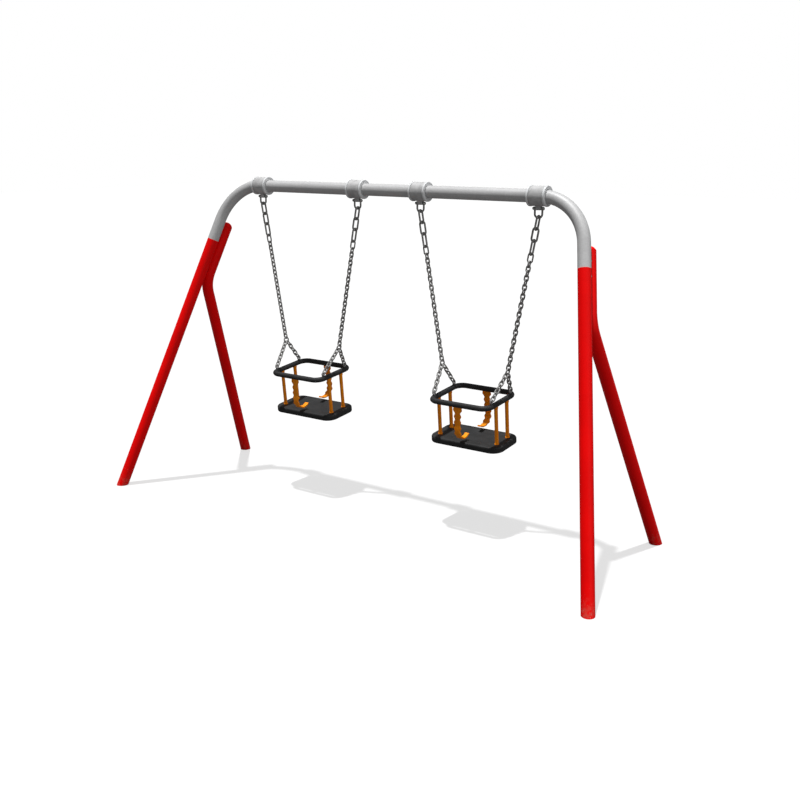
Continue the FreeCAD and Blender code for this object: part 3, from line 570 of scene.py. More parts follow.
def ring_round(shape, centre, side, other, radius, count):
    """Vertices on a circle in the plane of two directions."""
    ring = []
    for step in range(count):
        angle = 2 * math.pi * step / count
        out = side * math.cos(angle) + other * math.sin(angle)
        ring.append(shape.verts.new(centre + out * radius))
    return ring


def skin(shape, rings):
    """Faces between rings that have the same number of vertices."""
    count = len(rings[0])
    for first, second in zip(rings, rings[1:]):
        for step in range(count):
            following = (step + 1) % count
            shape.faces.new((first[step], first[following], second[following], second[step]))


def lathe(profile, origin, along, segments):
    """Closed surface of revolution from (axial, radius) pairs; a radius of 0 is a pole."""
    along = along.normalized()
    side = X_AXIS if abs(along.x) < 0.9 else Y_AXIS
    side = (side - along * side.dot(along)).normalized()
    other = along.cross(side)
    shape = bmesh.new()
    rings = []
    for axial, radius in profile:
        centre = origin + along * axial
        if radius == 0:
            rings.append([shape.verts.new(centre)])
        else:
            rings.append(ring_round(shape, centre, side, other, radius, segments))
    closed = profile[0][1] > 0 and profile[-1][1] > 0
    for number in range(len(rings) if closed else len(rings) - 1):
        first, second = rings[number], rings[(number + 1) % len(rings)]
        for step in range(segments):
            following = (step + 1) % segments
            if len(first) == 1:
                shape.faces.new((first[0], second[following], second[step]))
            elif len(second) == 1:
                shape.faces.new((first[step], first[following], second[0]))
            else:
                shape.faces.new((first[step], first[following], second[following], second[step]))
    bmesh.ops.recalc_face_normals(shape, faces=shape.faces)
    return drawn(shape, "lathe")


def hex_prism(centre, along, across, height, chamfer):
    """Bolt head or nut with its corners turned off."""
    along = along.normalized()
    side = Z_AXIS if abs(along.z) < 0.5 else X_AXIS
    other = along.cross(side)
    corner = across / math.sqrt(3)
    levels = ((0, corner), (height - chamfer, corner), (height, corner - chamfer * 1.6))
    shape = bmesh.new()
    rings = [ring_round(shape, centre + along * axial, side, other, radius, 6)
             for axial, radius in levels]
    skin(shape, rings)
    shape.faces.new(rings[0])
    shape.faces.new(rings[-1])
    bmesh.ops.recalc_face_normals(shape, faces=shape.faces)
    bmesh.ops.bevel(shape, geom=shape.edges[:], offset=chamfer * 0.3, segments=2, affect="EDGES")
    return drawn(shape, "hex")


def block(low, high, bevel):
    """Box with rounded edges."""
    shape = bmesh.new()
    size = high - low
    bmesh.ops.create_cube(shape, size=1.0, matrix=Matrix.LocRotScale((low + high) / 2, None, size))
    bmesh.ops.bevel(shape, geom=shape.edges[:], offset=bevel, segments=3, affect="EDGES")
    return drawn(shape, "block")


# ---------------------------------------------------------------- geometry trees
SOCKETS = {"float": "NodeSocketFloat", "int": "NodeSocketInt", "vector": "NodeSocketVector",
           "bool": "NodeSocketBool", "geometry": "NodeSocketGeometry"}


class Grower(Nodes):
    """A geometry tree in the making, with named inputs."""

    def __init__(self, name, inputs):
        tree = bpy.data.node_groups.new(name, "GeometryNodeTree")
        tree.interface.new_socket(name="Geometry", in_out="INPUT", socket_type=SOCKETS["geometry"])
        for key, (kind, default) in inputs.items():
            socket = tree.interface.new_socket(name=key, in_out="INPUT", socket_type=SOCKETS[kind])
            socket.default_value = default
        tree.interface.new_socket(name="Geometry", in_out="OUTPUT", socket_type=SOCKETS["geometry"])
        super().__init__(tree)
        self.inputs = self.make("NodeGroupInput").outputs

    def input(self, name):
        return Amount(self, self.inputs[name])

    def parts(self):
        """X, Y and Z of the position."""
        where = self.make("GeometryNodeInputPosition").outputs[0]
        split = self.make("ShaderNodeSeparateXYZ", None, {"Vector": where})
        return [Amount(self, split.outputs[axis]) for axis in "XYZ"]

    def vector(self, x, y, z):
        return self.make("ShaderNodeCombineXYZ", None, {"X": x, "Y": y, "Z": z}).outputs[0]

    def named(self, name):
        return self.amount("GeometryNodeInputNamedAttribute", {"data_type": "FLOAT"},
                           {"Name": name}, "Attribute")

    def stored(self, geometry, name, value):
        node = self.make("GeometryNodeStoreNamedAttribute",
                         {"data_type": "FLOAT", "domain": "POINT"},
                         {"Geometry": geometry, "Name": name, "Value": value})
        return node.outputs[0]

    def ended(self, geometry):
        """Realises the instances, smooths them and ends the tree; settle gives the finish."""
        real = self.make("GeometryNodeRealizeInstances", None, {"Geometry": geometry})
        shaded = self.make("GeometryNodeSetShadeSmooth", None, {"Geometry": real.outputs[0]})
        coated = self.make("GeometryNodeSetMaterial", None, {"Geometry": shaded.outputs[0]})
        self.make("NodeGroupOutput", None, {"Geometry": coated.outputs[0]})
        return self.tree


def bent_bar_tree():
    """Sweeps a round section, with an optional moulding seam, along a path with round bends."""
    grower = Grower("bent_bar", {"Thickness": ("float", 0.01), "Sides": ("int", 32),
                                 "Steps": ("int", 12), "Seam": ("float", 0.0),
                                 "Capped": ("bool", True), "Bare": ("float", 0.0)})
    curve = grower.make("GeometryNodeMeshToCurve", None, {"Mesh": grower.inputs["Geometry"]})
    bend = grower.make("GeometryNodeFilletCurve", {"mode": "POLY"},
                       {"Curve": curve.outputs[0], "Count": grower.inputs["Steps"],
                        "Radius": grower.named("bend"), "Limit Radius": True})
    thick = grower.make("GeometryNodeSetCurveRadius", None,
                        {"Curve": bend.outputs[0], "Radius": grower.named("girth")})
    length_along = grower.amount("GeometryNodeSplineParameter", None, None, "Length")
    lengthed = grower.stored(thick.outputs[0], "from_top", length_along)
    marked = grower.stored(lengthed, "bare", grower.input("Bare"))
    circle = grower.make("GeometryNodeCurvePrimitiveCircle", {"mode": "RADIUS"},
                         {"Resolution": grower.inputs["Sides"],
                          "Radius": grower.input("Thickness") / 2})
    x, y = grower.parts()[:2]
    push = grower.input("Seam") * (abs(y) < 0.0004)
    seamed = grower.make("GeometryNodeSetPosition", None,
                         {"Geometry": circle.outputs[0], "Offset": grower.vector(x * push, 0, 0)})
    swept = grower.make("GeometryNodeCurveToMesh", None,
                        {"Curve": marked, "Profile Curve": seamed.outputs[0],
                         "Fill Caps": grower.inputs["Capped"]})
    return grower.ended(swept.outputs[0])


def link_tree():
    """Welded chain links, each a quarter turn from the last."""
    grower = Grower("chain_links", {
        "Count": ("int", 4), "Wire": ("float", 0.008), "Width": ("float", 0.02),
        "Length": ("float", 0.03), "First": ("vector", (0, 0, 0)),
        "Step": ("vector", (0, 0, -0.02)),
        "Up": ("vector", (0, 0, 1)), "Even turn": ("vector", (1, 0, 0)),
        "Odd turn": ("vector", (0, 1, 0)), "Points": ("int", 22), "Sides": ("int", 10)})
    wire, width, size = (grower.input(name) for name in ("Wire", "Width", "Length"))
    outline = grower.make("GeometryNodeCurvePrimitiveQuadrilateral", {"mode": "RECTANGLE"},
                          {"Width": width, "Height": size})
    oval = grower.make("GeometryNodeFilletCurve", {"mode": "POLY"},
                       {"Curve": outline.outputs[0], "Count": 12, "Radius": width * 0.4999,
                        "Limit Radius": True})
    even = grower.make("GeometryNodeResampleCurve", {"mode": "COUNT"},
                       {"Curve": oval.outputs[0], "Count": grower.inputs["Points"]})
    x, y = grower.parts()[:2]
    weld = (abs(y) / wire).rise(0.75, 0.1) * (x > 0)
    swollen = grower.make("GeometryNodeSetCurveRadius", None,
                          {"Curve": even.outputs[0], "Radius": 1.0 + weld * 0.17})
    circle = grower.make("GeometryNodeCurvePrimitiveCircle", {"mode": "RADIUS"},
                         {"Resolution": grower.inputs["Sides"], "Radius": wire / 2})
    ring = grower.make("GeometryNodeCurveToMesh", None,
                       {"Curve": swollen.outputs[0], "Profile Curve": circle.outputs[0]})
    x, y = grower.parts()[:2]
    rubbed = (size / 2 - abs(y)).rise(wire * 0.45, wire * 0.05) * (abs(x) / wire).rise(0.9, 0.3)
    marked = grower.stored(ring.outputs[0], "worn", rubbed)
    upright = grower.make("GeometryNodeTransform", None,
                          {"Geometry": marked, "Rotation": (math.pi / 2, 0, 0),
                           "Translation": grower.vector(0, 0, size * -0.5)})
    line = grower.make("GeometryNodeMeshLine", {"mode": "OFFSET"},
                       {"Count": grower.inputs["Count"], "Start Location": grower.inputs["First"],
                        "Offset": grower.inputs["Step"]})
    odd = grower.amount("GeometryNodeInputIndex") % 2
    turn = grower.make("ShaderNodeMix", {"data_type": "VECTOR"},
                       {0: odd, 4: grower.inputs["Even turn"], 5: grower.inputs["Odd turn"]})
    facing = grower.make("FunctionNodeAxesToRotation", {"primary_axis": "Z", "secondary_axis": "X"},
                         {"Primary Axis": grower.inputs["Up"], "Secondary Axis": turn.outputs[1]})
    links = grower.make("GeometryNodeInstanceOnPoints", None,
                        {"Points": line.outputs[0], "Instance": upright.outputs[0],
                         "Rotation": facing.outputs[0]})
    return grower.ended(links.outputs[0])


def strap_tree():
    """A flat strap along a path, with waved edges, a flare at its top and a rounded tip."""
    grower = Grower("waved_strap", {
        "Width": ("float", 0.04), "Thickness": ("float", 0.009), "Wave": ("float", 0.002),
        "Period": ("float", 0.043), "Flare": ("float", 0.01), "Flare length": ("float", 0.045),
        "Taper": ("float", 0.006), "Tip length": ("float", 0.012)})
    curve = grower.make("GeometryNodeMeshToCurve", None, {"Mesh": grower.inputs["Geometry"]})
    bend = grower.make("GeometryNodeFilletCurve", {"mode": "POLY"},
                       {"Curve": curve.outputs[0], "Count": 24, "Radius": grower.named("bend"),
                        "Limit Radius": True})
    even = grower.make("GeometryNodeResampleCurve", {"mode": "LENGTH"},
                       {"Curve": bend.outputs[0], "Length": 0.0025})
    along = grower.amount("GeometryNodeSplineParameter", None, None, "Length")
    whole = grower.amount("GeometryNodeSplineLength", None, None, "Length")
    tip = 1 - (whole - along) / grower.input("Tip length")
    tip = tip * (tip > 0)
    thin = (1 - tip * tip * 0.72) ** 0.5
    shaped = grower.make("GeometryNodeSetCurveRadius", None,
                         {"Curve": even.outputs[0], "Radius": thin})
    marked = grower.stored(shaped.outputs[0], "along", along)
    # The tip mask narrows the strap's end; orange_polymer also uses it to paint that end paler, a painted
    # highlight.
    marked = grower.stored(marked, "tip", (whole - along).rise(0.085, 0.015))
    section = grower.make("GeometryNodeCurvePrimitiveQuadrilateral", {"mode": "RECTANGLE"},
                          {"Width": grower.input("Width"), "Height": grower.input("Thickness")})
    rounded = grower.make("GeometryNodeFilletCurve", {"mode": "POLY"},
                          {"Curve": section.outputs[0], "Count": 5,
                           "Radius": grower.input("Thickness") * 0.42, "Limit Radius": True})
    swept = grower.make("GeometryNodeCurveToMesh", None,
                        {"Curve": marked, "Profile Curve": rounded.outputs[0], "Fill Caps": True})
    x = grower.parts()[0]
    share = x / (grower.input("Width") / 2)
    phase = grower.named("along") / grower.input("Period") * (2 * math.pi)
    wave = phase.cosine() * grower.input("Wave")
    flare = grower.named("along").rise(grower.input("Flare length"), 0.012) * grower.input("Flare")
    ending = grower.named("tip")
    push = share * (wave * (1 - ending) + flare - ending * grower.input("Taper"))
    moved = grower.make("GeometryNodeSetPosition", None,
                        {"Geometry": swept.outputs[0], "Offset": grower.vector(push, 0, 0)})
    return grower.ended(moved.outputs[0])


def bead_tree():
    """Ripples of a weld bead, one after the other along a line."""
    grower = Grower("weld_bead", {"Pitch": ("float", 0.0042), "Size": ("vector", (1, 1, 1)),
                                  "Along": ("vector", (0, 0, 1)), "Out": ("vector", (1, 0, 0))})
    curve = grower.make("GeometryNodeMeshToCurve", None, {"Mesh": grower.inputs["Geometry"]})
    points = grower.make("GeometryNodeCurveToPoints", {"mode": "LENGTH"},
                         {"Curve": curve.outputs[0], "Length": grower.inputs["Pitch"]})
    ripple = grower.make("GeometryNodeMeshUVSphere", None,
                         {"Segments": 12, "Rings": 8, "Radius": 1.0})
    facing = grower.make("FunctionNodeAxesToRotation", {"primary_axis": "Z", "secondary_axis": "X"},
                         {"Primary Axis": grower.inputs["Along"],
                          "Secondary Axis": grower.inputs["Out"]})
    size = grower.make("FunctionNodeRandomValue", {"data_type": "FLOAT"},
                       {2: 0.9, 3: 1.08, "Seed": 7})
    scale = grower.make("ShaderNodeVectorMath", {"operation": "SCALE"},
                        {0: grower.inputs["Size"], "Scale": size.outputs[1]})
    ripples = grower.make("GeometryNodeInstanceOnPoints", None,
                          {"Points": points.outputs[0], "Instance": ripple.outputs[0],
                           "Rotation": facing.outputs[0], "Scale": scale.outputs[0]})
    return grower.ended(ripples.outputs[0])


# ---------------------------------------------------------------- frame
WELD_GROOVE = 0.0112          # plane through both legs to the root of a weld
BEAD_PITCH = 0.0042
BEAD_SIZE = (0.0032, 0.0048, 0.0036)
TUBE_SIDES = 56


def leg_lines(side):
    """Corner, leg direction, feet and rearward normal of one side."""
    sizes = bpy.context.scene.swing_frame
    middle = Vector((0, BAR.y, 0))
    mirror = Vector((side, 1, 1))
    corner = BAR + sizes.corner * mirror
    foot = middle + sizes.front_foot * mirror
    rear = middle + sizes.rear_foot * mirror
    along = (foot - corner).normalized()
    rearward = rear - foot
    normal = (rearward - along * rearward.dot(along)).normalized()
    return corner, foot, rear, along, normal


def cut_level(mesh):
    """Cuts what is below the ground off a closed mesh and closes it again."""
    shape = bmesh.new()
    shape.from_mesh(mesh)
    parts = shape.verts[:] + shape.edges[:] + shape.faces[:]
    cut = bmesh.ops.bisect_plane(shape, geom=parts, plane_co=(0, 0, 0), plane_no=(0, 0, -1),
                                 clear_outer=True)
    rim = [part for part in cut["geom_cut"] if isinstance(part, bmesh.types.BMEdge)]
    bmesh.ops.contextual_create(shape, geom=rim)
    shape.to_mesh(mesh)
    shape.free()
    return mesh


def tube_mesh(tree, points, bends, rims, steps, bare=0.0):
    """Tube along a path, with a small rounding at the ends that have a rim."""
    sizes = bpy.context.scene.swing_frame
    rim = sizes.rim
    girths = [1.0] * len(points)
    points, bends = list(points), list(bends)
    for end in rims:
        first = points[end]
        second = points[1 if end == 0 else -2]
        inward = (second - first).normalized()
        at = 1 if end == 0 else len(points) - 1
        points.insert(at, first + inward * rim)
        bends.insert(at, 0.0)
        girths.insert(at, 1.0)
        girths[0 if end == 0 else -1] = 1 - 1.2 * rim / sizes.tube
    return grown(tree, path_mesh(points, bends, girths=girths), Thickness=sizes.tube,
                 Sides=TUBE_SIDES, Steps=steps, Bare=bare)


class SWING_OT_frame(bpy.types.Operator):
    """Bends the arch tube and the legs, and lays the welds"""
    bl_idname = "swing.frame"
    bl_label = "Frame tubes"

    def execute(self, context):
        sizes = context.scene.swing_frame
        bar_tree = bent_bar_tree()
        welds_tree = bead_tree()
        ends = {}
        for name, side in SIDES.items():
            corner, foot, rear, along, normal = leg_lines(side)
            ends[side] = corner + along * sizes.joint
            leg = tube_mesh(bar_tree, [ends[side], foot + along * sizes.tube], [0, 0], (0,), 2, 1.0)
            settle(smooth(cut_level(leg)), name + "_front_leg_coat", "frame", "red_paint",
                   [name + "_front_leg"])
            offset = normal * (sizes.tube + sizes.leg_gap)
            top = corner + along * (sizes.rear_top + sizes.cap) + offset
            kink = corner + along * sizes.kink + offset
            end = rear + (rear - kink).normalized() * sizes.tube
            leg = tube_mesh(bar_tree, [top, kink, end], [0, sizes.kink_bend, 0], (0,), 20)
            settle(smooth(cut_level(leg)), name + "_rear_leg_coat", "frame", "red_paint",
                   [name + "_rear_leg"])
            self.make_cap(name, top, along)
            self.make_welds(name, welds_tree, ends[side], along, normal)
        left = BAR + sizes.corner * Vector((-1, 1, 1))
        right = BAR + sizes.corner
        arch = tube_mesh(bar_tree, [ends[-1], left, right, ends[1]],
                         [0, sizes.arch_bend, sizes.arch_bend, 0], (0, -1), 40)
        settle(smooth(arch), "arch_tube_zinc", "frame", "galvanised_tube", ["arch_tube"])
        return {"FINISHED"}

    def make_cap(self, name, top, along):
        sizes = bpy.context.scene.swing_frame
        radius = sizes.tube / 2
        dome = (radius ** 2 + sizes.cap ** 2) / (2 * sizes.cap)
        reach = math.asin(radius / dome)
        profile = [(-0.014, 0), (-0.014, radius * 0.86), (-0.0006, radius * 0.86),
                   (-0.0002, radius * 0.965), (0.0010, radius)]
        steps = 14
        for step in range(1, steps):
            angle = reach * (1 - step / steps)
            profile.append((sizes.cap - dome * (1 - math.cos(angle)), dome * math.sin(angle)))
        profile.append((sizes.cap, 0))
        cap = smooth(lathe(profile, top, -along, TUBE_SIDES), 30)
        settle(cap, name + "_leg_cap_coat", "frame", "red_paint", [name + "_leg_cap"])

    def make_welds(self, name, tree, joint, along, normal):
        sizes = bpy.context.scene.swing_frame
        across = along.cross(normal).normalized()
        middle = joint + normal * (sizes.tube + sizes.leg_gap) / 2
        beads = []
        for way in (-1, 1):
            out = across * way
            groove = middle + out * WELD_GROOVE
            line = path_mesh([groove + along * sizes.weld_start, groove + along * sizes.weld_end])
            beads.append(grown(tree, line, Pitch=BEAD_PITCH, Size=BEAD_SIZE, Along=along, Out=out))
        settle(merged(beads), name + "_weld_beads", "frame", "red_paint", [name + "_leg_welds"])


# ---------------------------------------------------------------- hangers
CAST_EDGE = 0.0018            # chamfer of a collar's ends
CAST_VOXEL = 0.0014
LUG_BEVEL = 0.003
LUG_ROOT = 0.004              # collar's bore to the upper end of its lug
FLANGE_ROUND = 0.0022
FORGED_EDGE = 0.0012          # chamfer of a shackle's eyes
FORGED_VOXEL = 0.0008
PIN_RADIUS = 0.00395
PIN_POINT = 0.0032            # radius of the pin's end
PIN_REACH = 0.0085            # shackle's face to the pin's end
PIN_CHAMFER = 0.0008
WASHER_BORE = 0.004
WASHER_RADIUS = 0.0078
WASHER = 0.0010               # thickness
HEX_ACROSS = 0.013
HEX_CHAMFER = 0.0009
HEAD_HEIGHT = 0.0043
NUT_HEIGHT = 0.0065


def hanger_places(side):
    reach = bpy.context.scene.swing_hangers.half_spacing
    return {"inner": side * (SWING_X - reach), "outer": side * (SWING_X + reach)}


class SWING_OT_hangers(bpy.types.Operator):
    """Casts the collars, turns the bushes and forges the shackles"""
    bl_idname = "swing.hangers"
    bl_label = "Hangers"

    def execute(self, context):
        bar_tree = bent_bar_tree()
        for name, side in SIDES.items():
            places = hanger_places(side)
            bushes = []
            shackles = []
            bolts = []
            nuts = []
            for where, x in places.items():
                collar = self.cast_collar(x)
                settle(collar, f"{name}_{where}_collar_casting", name + "_hangers", "collar_steel",
                       [f"{name}_{where}_collar"])
                bushes += self.turn_bushes(x)
                shackles.append(self.forge_shackle(bar_tree, x))
                bolts += self.shackle_bolt(x)
                nuts += self.shackle_nut(x)
            settle(smooth(merged(bushes), 35), name + "_bush_flanges", "frame", "pale_polymer",
                   [name + "_bushes"])
            settle(merged(shackles), name + "_shackle_forgings", name + "_chains", "chain_steel",
                   [name + "_shackles"])
            settle(smooth(merged(bolts), 30), name + "_shackle_pins", name + "_chains",
                   "zinc_fixings", [name + "_shackle_bolts"])
            settle(smooth(merged(nuts), 30), name + "_shackle_pin_nuts", name + "_chains",
                   "zinc_fixings", [name + "_shackle_nuts"])
        return {"FINISHED"}

    def cast_collar(self, x):
        sizes = bpy.context.scene.swing_hangers
        half = sizes.collar_length / 2
        middle = BAR + X_AXIS * x
        profile = [(-half, sizes.bore), (-half, sizes.collar - CAST_EDGE),
                   (-half + CAST_EDGE, sizes.collar), (half - CAST_EDGE, sizes.collar),
                   (half, sizes.collar - CAST_EDGE), (half, sizes.bore)]
        ring = lathe(profile, middle, X_AXIS, 72)
        root = Vector((sizes.lug_width / 2, sizes.lug_depth / 2, 0))
        low = middle - root - Z_AXIS * sizes.lug_drop
        high = middle + root - Z_AXIS * (sizes.bore + LUG_ROOT)
        raw = merged([ring, block(low, high, LUG_BEVEL)])
        return evaluated(raw, ("REMESH", {"mode": "VOXEL", "voxel_size": CAST_VOXEL,
                                          "use_smooth_shade": True}),
                         ("SMOOTH", {"factor": 0.5, "iterations": 2}))

    def turn_bushes(self, x):
        sizes = bpy.context.scene.swing_hangers
        start = sizes.collar_length / 2 + sizes.gap
        end = start + sizes.flange_width
        outside = sizes.flange
        inside = bpy.context.scene.swing_frame.tube / 2 + 0.00005
        profile = [(start, inside), (start, outside - FLANGE_ROUND)]
        for step in range(1, 6):
            angle = math.pi / 2 * step / 5
            profile.append((start + FLANGE_ROUND * (1 - math.cos(angle)),
                            outside - FLANGE_ROUND * (1 - math.sin(angle))))
        for step in range(6):
            angle = math.pi / 2 * step / 5
            profile.append((end - FLANGE_ROUND * (1 - math.sin(angle)),
                            outside - FLANGE_ROUND * (1 - math.cos(angle))))
        profile += [(end, inside + 0.0035), (end - 0.0012, inside + 0.0016), (end - 0.0012, inside)]
        return [lathe(profile, BAR + X_AXIS * x, X_AXIS * way, 72) for way in (-1, 1)]

    def forge_shackle(self, tree, x):
        sizes = bpy.context.scene.swing_hangers
        pin = Vector((x, BAR.y, PIN_Z))
        half = X_AXIS * (sizes.spacing / 2)
        low = Z_AXIS * -sizes.drop
        bend = sizes.spacing / 2 * 0.95
        line = path_mesh([pin - half, pin - half + low, pin + half + low, pin + half],
                         [0, bend, bend, 0])
        parts = [grown(tree, line, Thickness=sizes.rod, Sides=20, Steps=12)]
        face = sizes.rod / 2
        rim = sizes.eye - FORGED_EDGE
        profile = [(-face, 0), (-face, rim), (-face + FORGED_EDGE, sizes.eye),
                   (face - FORGED_EDGE, sizes.eye), (face, rim), (face, 0)]
        for way in (-1, 1):
            parts.append(lathe(profile, pin + half * way, X_AXIS, 32))
        return evaluated(merged(parts), ("REMESH", {"mode": "VOXEL", "voxel_size": FORGED_VOXEL,
                                                    "use_smooth_shade": True}),
                         ("SMOOTH", {"factor": 0.5, "iterations": 3}))

    def shackle_bolt(self, x):
        sizes = bpy.context.scene.swing_hangers
        pin = Vector((x, BAR.y, PIN_Z))
        face = (sizes.spacing + sizes.rod) / 2
        end = -face - PIN_REACH
        shank = lathe([(end, 0), (end, PIN_POINT), (end + PIN_CHAMFER, PIN_RADIUS),
                       (face, PIN_RADIUS), (face, 0)], pin, X_AXIS, 20)
        washer = lathe([(face, WASHER_BORE), (face, WASHER_RADIUS),
                        (face + WASHER, WASHER_RADIUS), (face + WASHER, WASHER_BORE)],
                       pin, X_AXIS, 28)
        head = hex_prism(pin + X_AXIS * (face + WASHER), X_AXIS, HEX_ACROSS, HEAD_HEIGHT,
                         HEX_CHAMFER)
        return [shank, washer, head]

    def shackle_nut(self, x):
        sizes = bpy.context.scene.swing_hangers
        pin = Vector((x, BAR.y, PIN_Z))
        face = (sizes.spacing + sizes.rod) / 2
        return [hex_prism(pin - X_AXIS * face, -X_AXIS, HEX_ACROSS, NUT_HEIGHT, HEX_CHAMFER)]


# ---------------------------------------------------------------- chains
LONE = 0.1                    # pitch of a row that has only one link, which doesn't use it
LONG_LINK_DETAIL = (34, 14)   # points along the wire, sides round it
MIDDLE_LINK_DETAIL = (30, 12)
SPLIT_RING_DETAIL = (40, 14)
EYE_DETAIL = (32, 14)


def links(tree, first, up, pitch, count, size, wire, width, turns, points=22, sides=10):
    """Links of one kind in a row; first is the top wire's centre of the first link."""
    return grown(tree, path_mesh([first, first]), Count=count, Wire=wire, Width=width,
                 Length=size, First=first, Step=up * -pitch, Up=up, Even_turn=turns[0],
                 Odd_turn=turns[1], Points=points, Sides=sides)


def split_place(side, way):
    sizes = bpy.context.scene.swing_chains
    return Vector((side * SWING_X + way * sizes.split_half, BAR.y, sizes.split_height))


def bow_place(side, way):
    """Bottom of the bow of a shackle."""
    hanger = bpy.context.scene.swing_hangers
    return Vector((side * SWING_X + way * hanger.half_spacing, BAR.y, PIN_Z - hanger.drop))


def seat_matrix(side):
    """Turns and moves a piece made about the middle of the top ring to its seat."""
    sizes = bpy.context.scene.swing_seats
    lean = sizes.recline
    spot = Vector((side * SWING_X, BAR.y - sizes.balance * math.sin(lean), sizes.height))
    return Matrix.Translation(spot) @ Matrix.Rotation(lean, 4, "X")


def eye_height():
    sizes = bpy.context.scene.swing_seats
    wire = bpy.context.scene.swing_chains.wire
    return sizes.rod / 2 + sizes.eye + wire / 2 - sizes.eye_sink


def lower_run(side, way, fore):
    """Start, direction, pitch, count and whether the eye stands across the bar."""
    sizes = bpy.context.scene.swing_chains
    seat = bpy.context.scene.swing_seats
    matrix = seat_matrix(side)
    ring = split_place(side, way)
    eye = matrix @ Vector((way * seat.half_width, fore * seat.eye_offset, eye_height()))
    up = (matrix.to_3x3() @ Z_AXIS).normalized()
    for across_bar in (False, True):
        grip = eye + up * seat.eye if across_bar else eye + (ring - eye).normalized() * seat.eye
        down = (grip - ring).normalized()
        run = (grip - ring).length - sizes.split_ring + sizes.wire + sizes.slack
        count = round(run / sizes.pitch)
        if (count % 2 == 0) == across_bar:
            break
    first = ring + down * (sizes.split_ring - sizes.wire - sizes.slack)
    return first, down, run / count, count, across_bar


class SWING_OT_chains(bpy.types.Operator):
    """Links the chains from the shackles to the eyes of the seats"""
    bl_idname = "swing.chains"
    bl_label = "Chains"

    def execute(self, context):
        tree = link_tree()
        sizes = context.scene.swing_chains
        for name, side in SIDES.items():
            long_ones = []
            short_ones = []
            rings = []
            legs = []
            for way in (-1, 1):
                top, rest = self.upper_chain(tree, side, way)
                long_ones += top
                short_ones += rest
                ring = split_place(side, way)
                up = (bow_place(side, way) - ring).normalized()
                rings.append(links(tree, ring + up * sizes.split_ring, up, LONE, 1,
                                   2 * sizes.split_ring, sizes.wire, 2 * sizes.split_ring,
                                   (Y_AXIS, X_AXIS), *SPLIT_RING_DETAIL))
                for fore in (-1, 1):
                    first, down, pitch, count, across_bar = lower_run(side, way, fore)
                    sideways = (X_AXIS - down * down.x).normalized()
                    legs.append(links(tree, first, -down, pitch, count,
                                      pitch + sizes.wire + sizes.slack, sizes.wire, sizes.width,
                                      (sideways, down.cross(sideways))))
            settle(merged(long_ones), name + "_long_links", name + "_chains", "chain_steel",
                   [name + "_top_links"])
            settle(merged(short_ones), name + "_short_links", name + "_chains", "chain_steel",
                   [name + "_upper_chains"])
            settle(merged(rings), name + "_split_ring_pair", name + "_seat", "chain_steel",
                   [name + "_split_rings"])
            settle(merged(legs), name + "_seat_links", name + "_seat", "chain_steel",
                   [name + "_lower_chains"])
        return {"FINISHED"}

    def upper_chain(self, tree, side, way):
        sizes = bpy.context.scene.swing_chains
        hanger = bpy.context.scene.swing_hangers
        bow = bow_place(side, way)
        ring = split_place(side, way)
        down = (ring - bow).normalized()
        top = -(hanger.rod + sizes.long_wire) / 2 - sizes.slack
        turns = (Y_AXIS, X_AXIS)
        first = bow + down * top
        size = sizes.long_pitch + sizes.long_wire + sizes.slack
        long_ones = [links(tree, first, -down, sizes.long_pitch, 2, size, sizes.long_wire,
                           sizes.long_width, turns, *LONG_LINK_DETAIL)]
        first = first + down * 2 * sizes.long_pitch
        size = sizes.last_pitch + (sizes.long_wire + sizes.wire) / 2 + sizes.slack
        long_ones.append(links(tree, first, -down, LONE, 1, size, sizes.long_wire,
                               sizes.long_width, turns, *LONG_LINK_DETAIL))
        first = first + down * sizes.last_pitch
        size = sizes.middle_pitch + sizes.wire + sizes.slack
        long_ones.append(links(tree, first, -down, LONE, 1, size, sizes.wire, sizes.middle_width,
                               (X_AXIS, Y_AXIS), *MIDDLE_LINK_DETAIL))
        first = first + down * sizes.middle_pitch
        run = (ring - first).length - sizes.split_ring
        count = 2 * round(run / (2 * sizes.pitch))
        pitch = run / count
        size = pitch + sizes.wire + sizes.slack
        return long_ones, [links(tree, first, -down, pitch, count, size, sizes.wire, sizes.width,
                                 turns)]


# ---------------------------------------------------------------- seats
QUARTERS = [(way, fore) for way in (-1, 1) for fore in (-1, 1)]
UNDERSIDE = ((0.030, 0.0015), (0.020, 0.0012), (0.0165, 0.0002), (0.014, 0.0))    # inset, height
LOWER_ROUND = 0.006
UPPER_ROUND = 0.010
DISH_SLOPE = ((0.020, 0.0), (0.030, 0.0002), (0.034, 0.0006), (0.039, 0.0018),    # inset, depth
              (0.044, 0.0028), (0.052, 0.0034))
POCKET_RADIUS = 0.0095
POCKET_MOUTH = 0.0105
POCKET_DEPTH = 0.009
STEM_FOOT = -0.014            # from the middle of an eye
STEM_TOP = 0.002              # how far the stem reaches into the eye's wire


def post_places(height):
    """Where the axes of the four posts cross a height."""
    sizes = bpy.context.scene.swing_seats
    return [Vector((way * sizes.half_width, fore * sizes.post_offset, height))
            for way, fore in QUARTERS]


def rounded_outline(half_x, half_y, corner, steps):
    """Points round a rectangle with round corners."""
    points = []
    for quarter, (sign_x, sign_y) in enumerate(((1, 1), (-1, 1), (-1, -1), (1, -1))):
        centre = Vector((sign_x * (half_x - corner), sign_y * (half_y - corner)))
        for step in range(steps + 1):
            angle = math.pi / 2 * (quarter + step / steps)
            points.append(centre + Vector((math.cos(angle), math.sin(angle))) * corner)
    return points


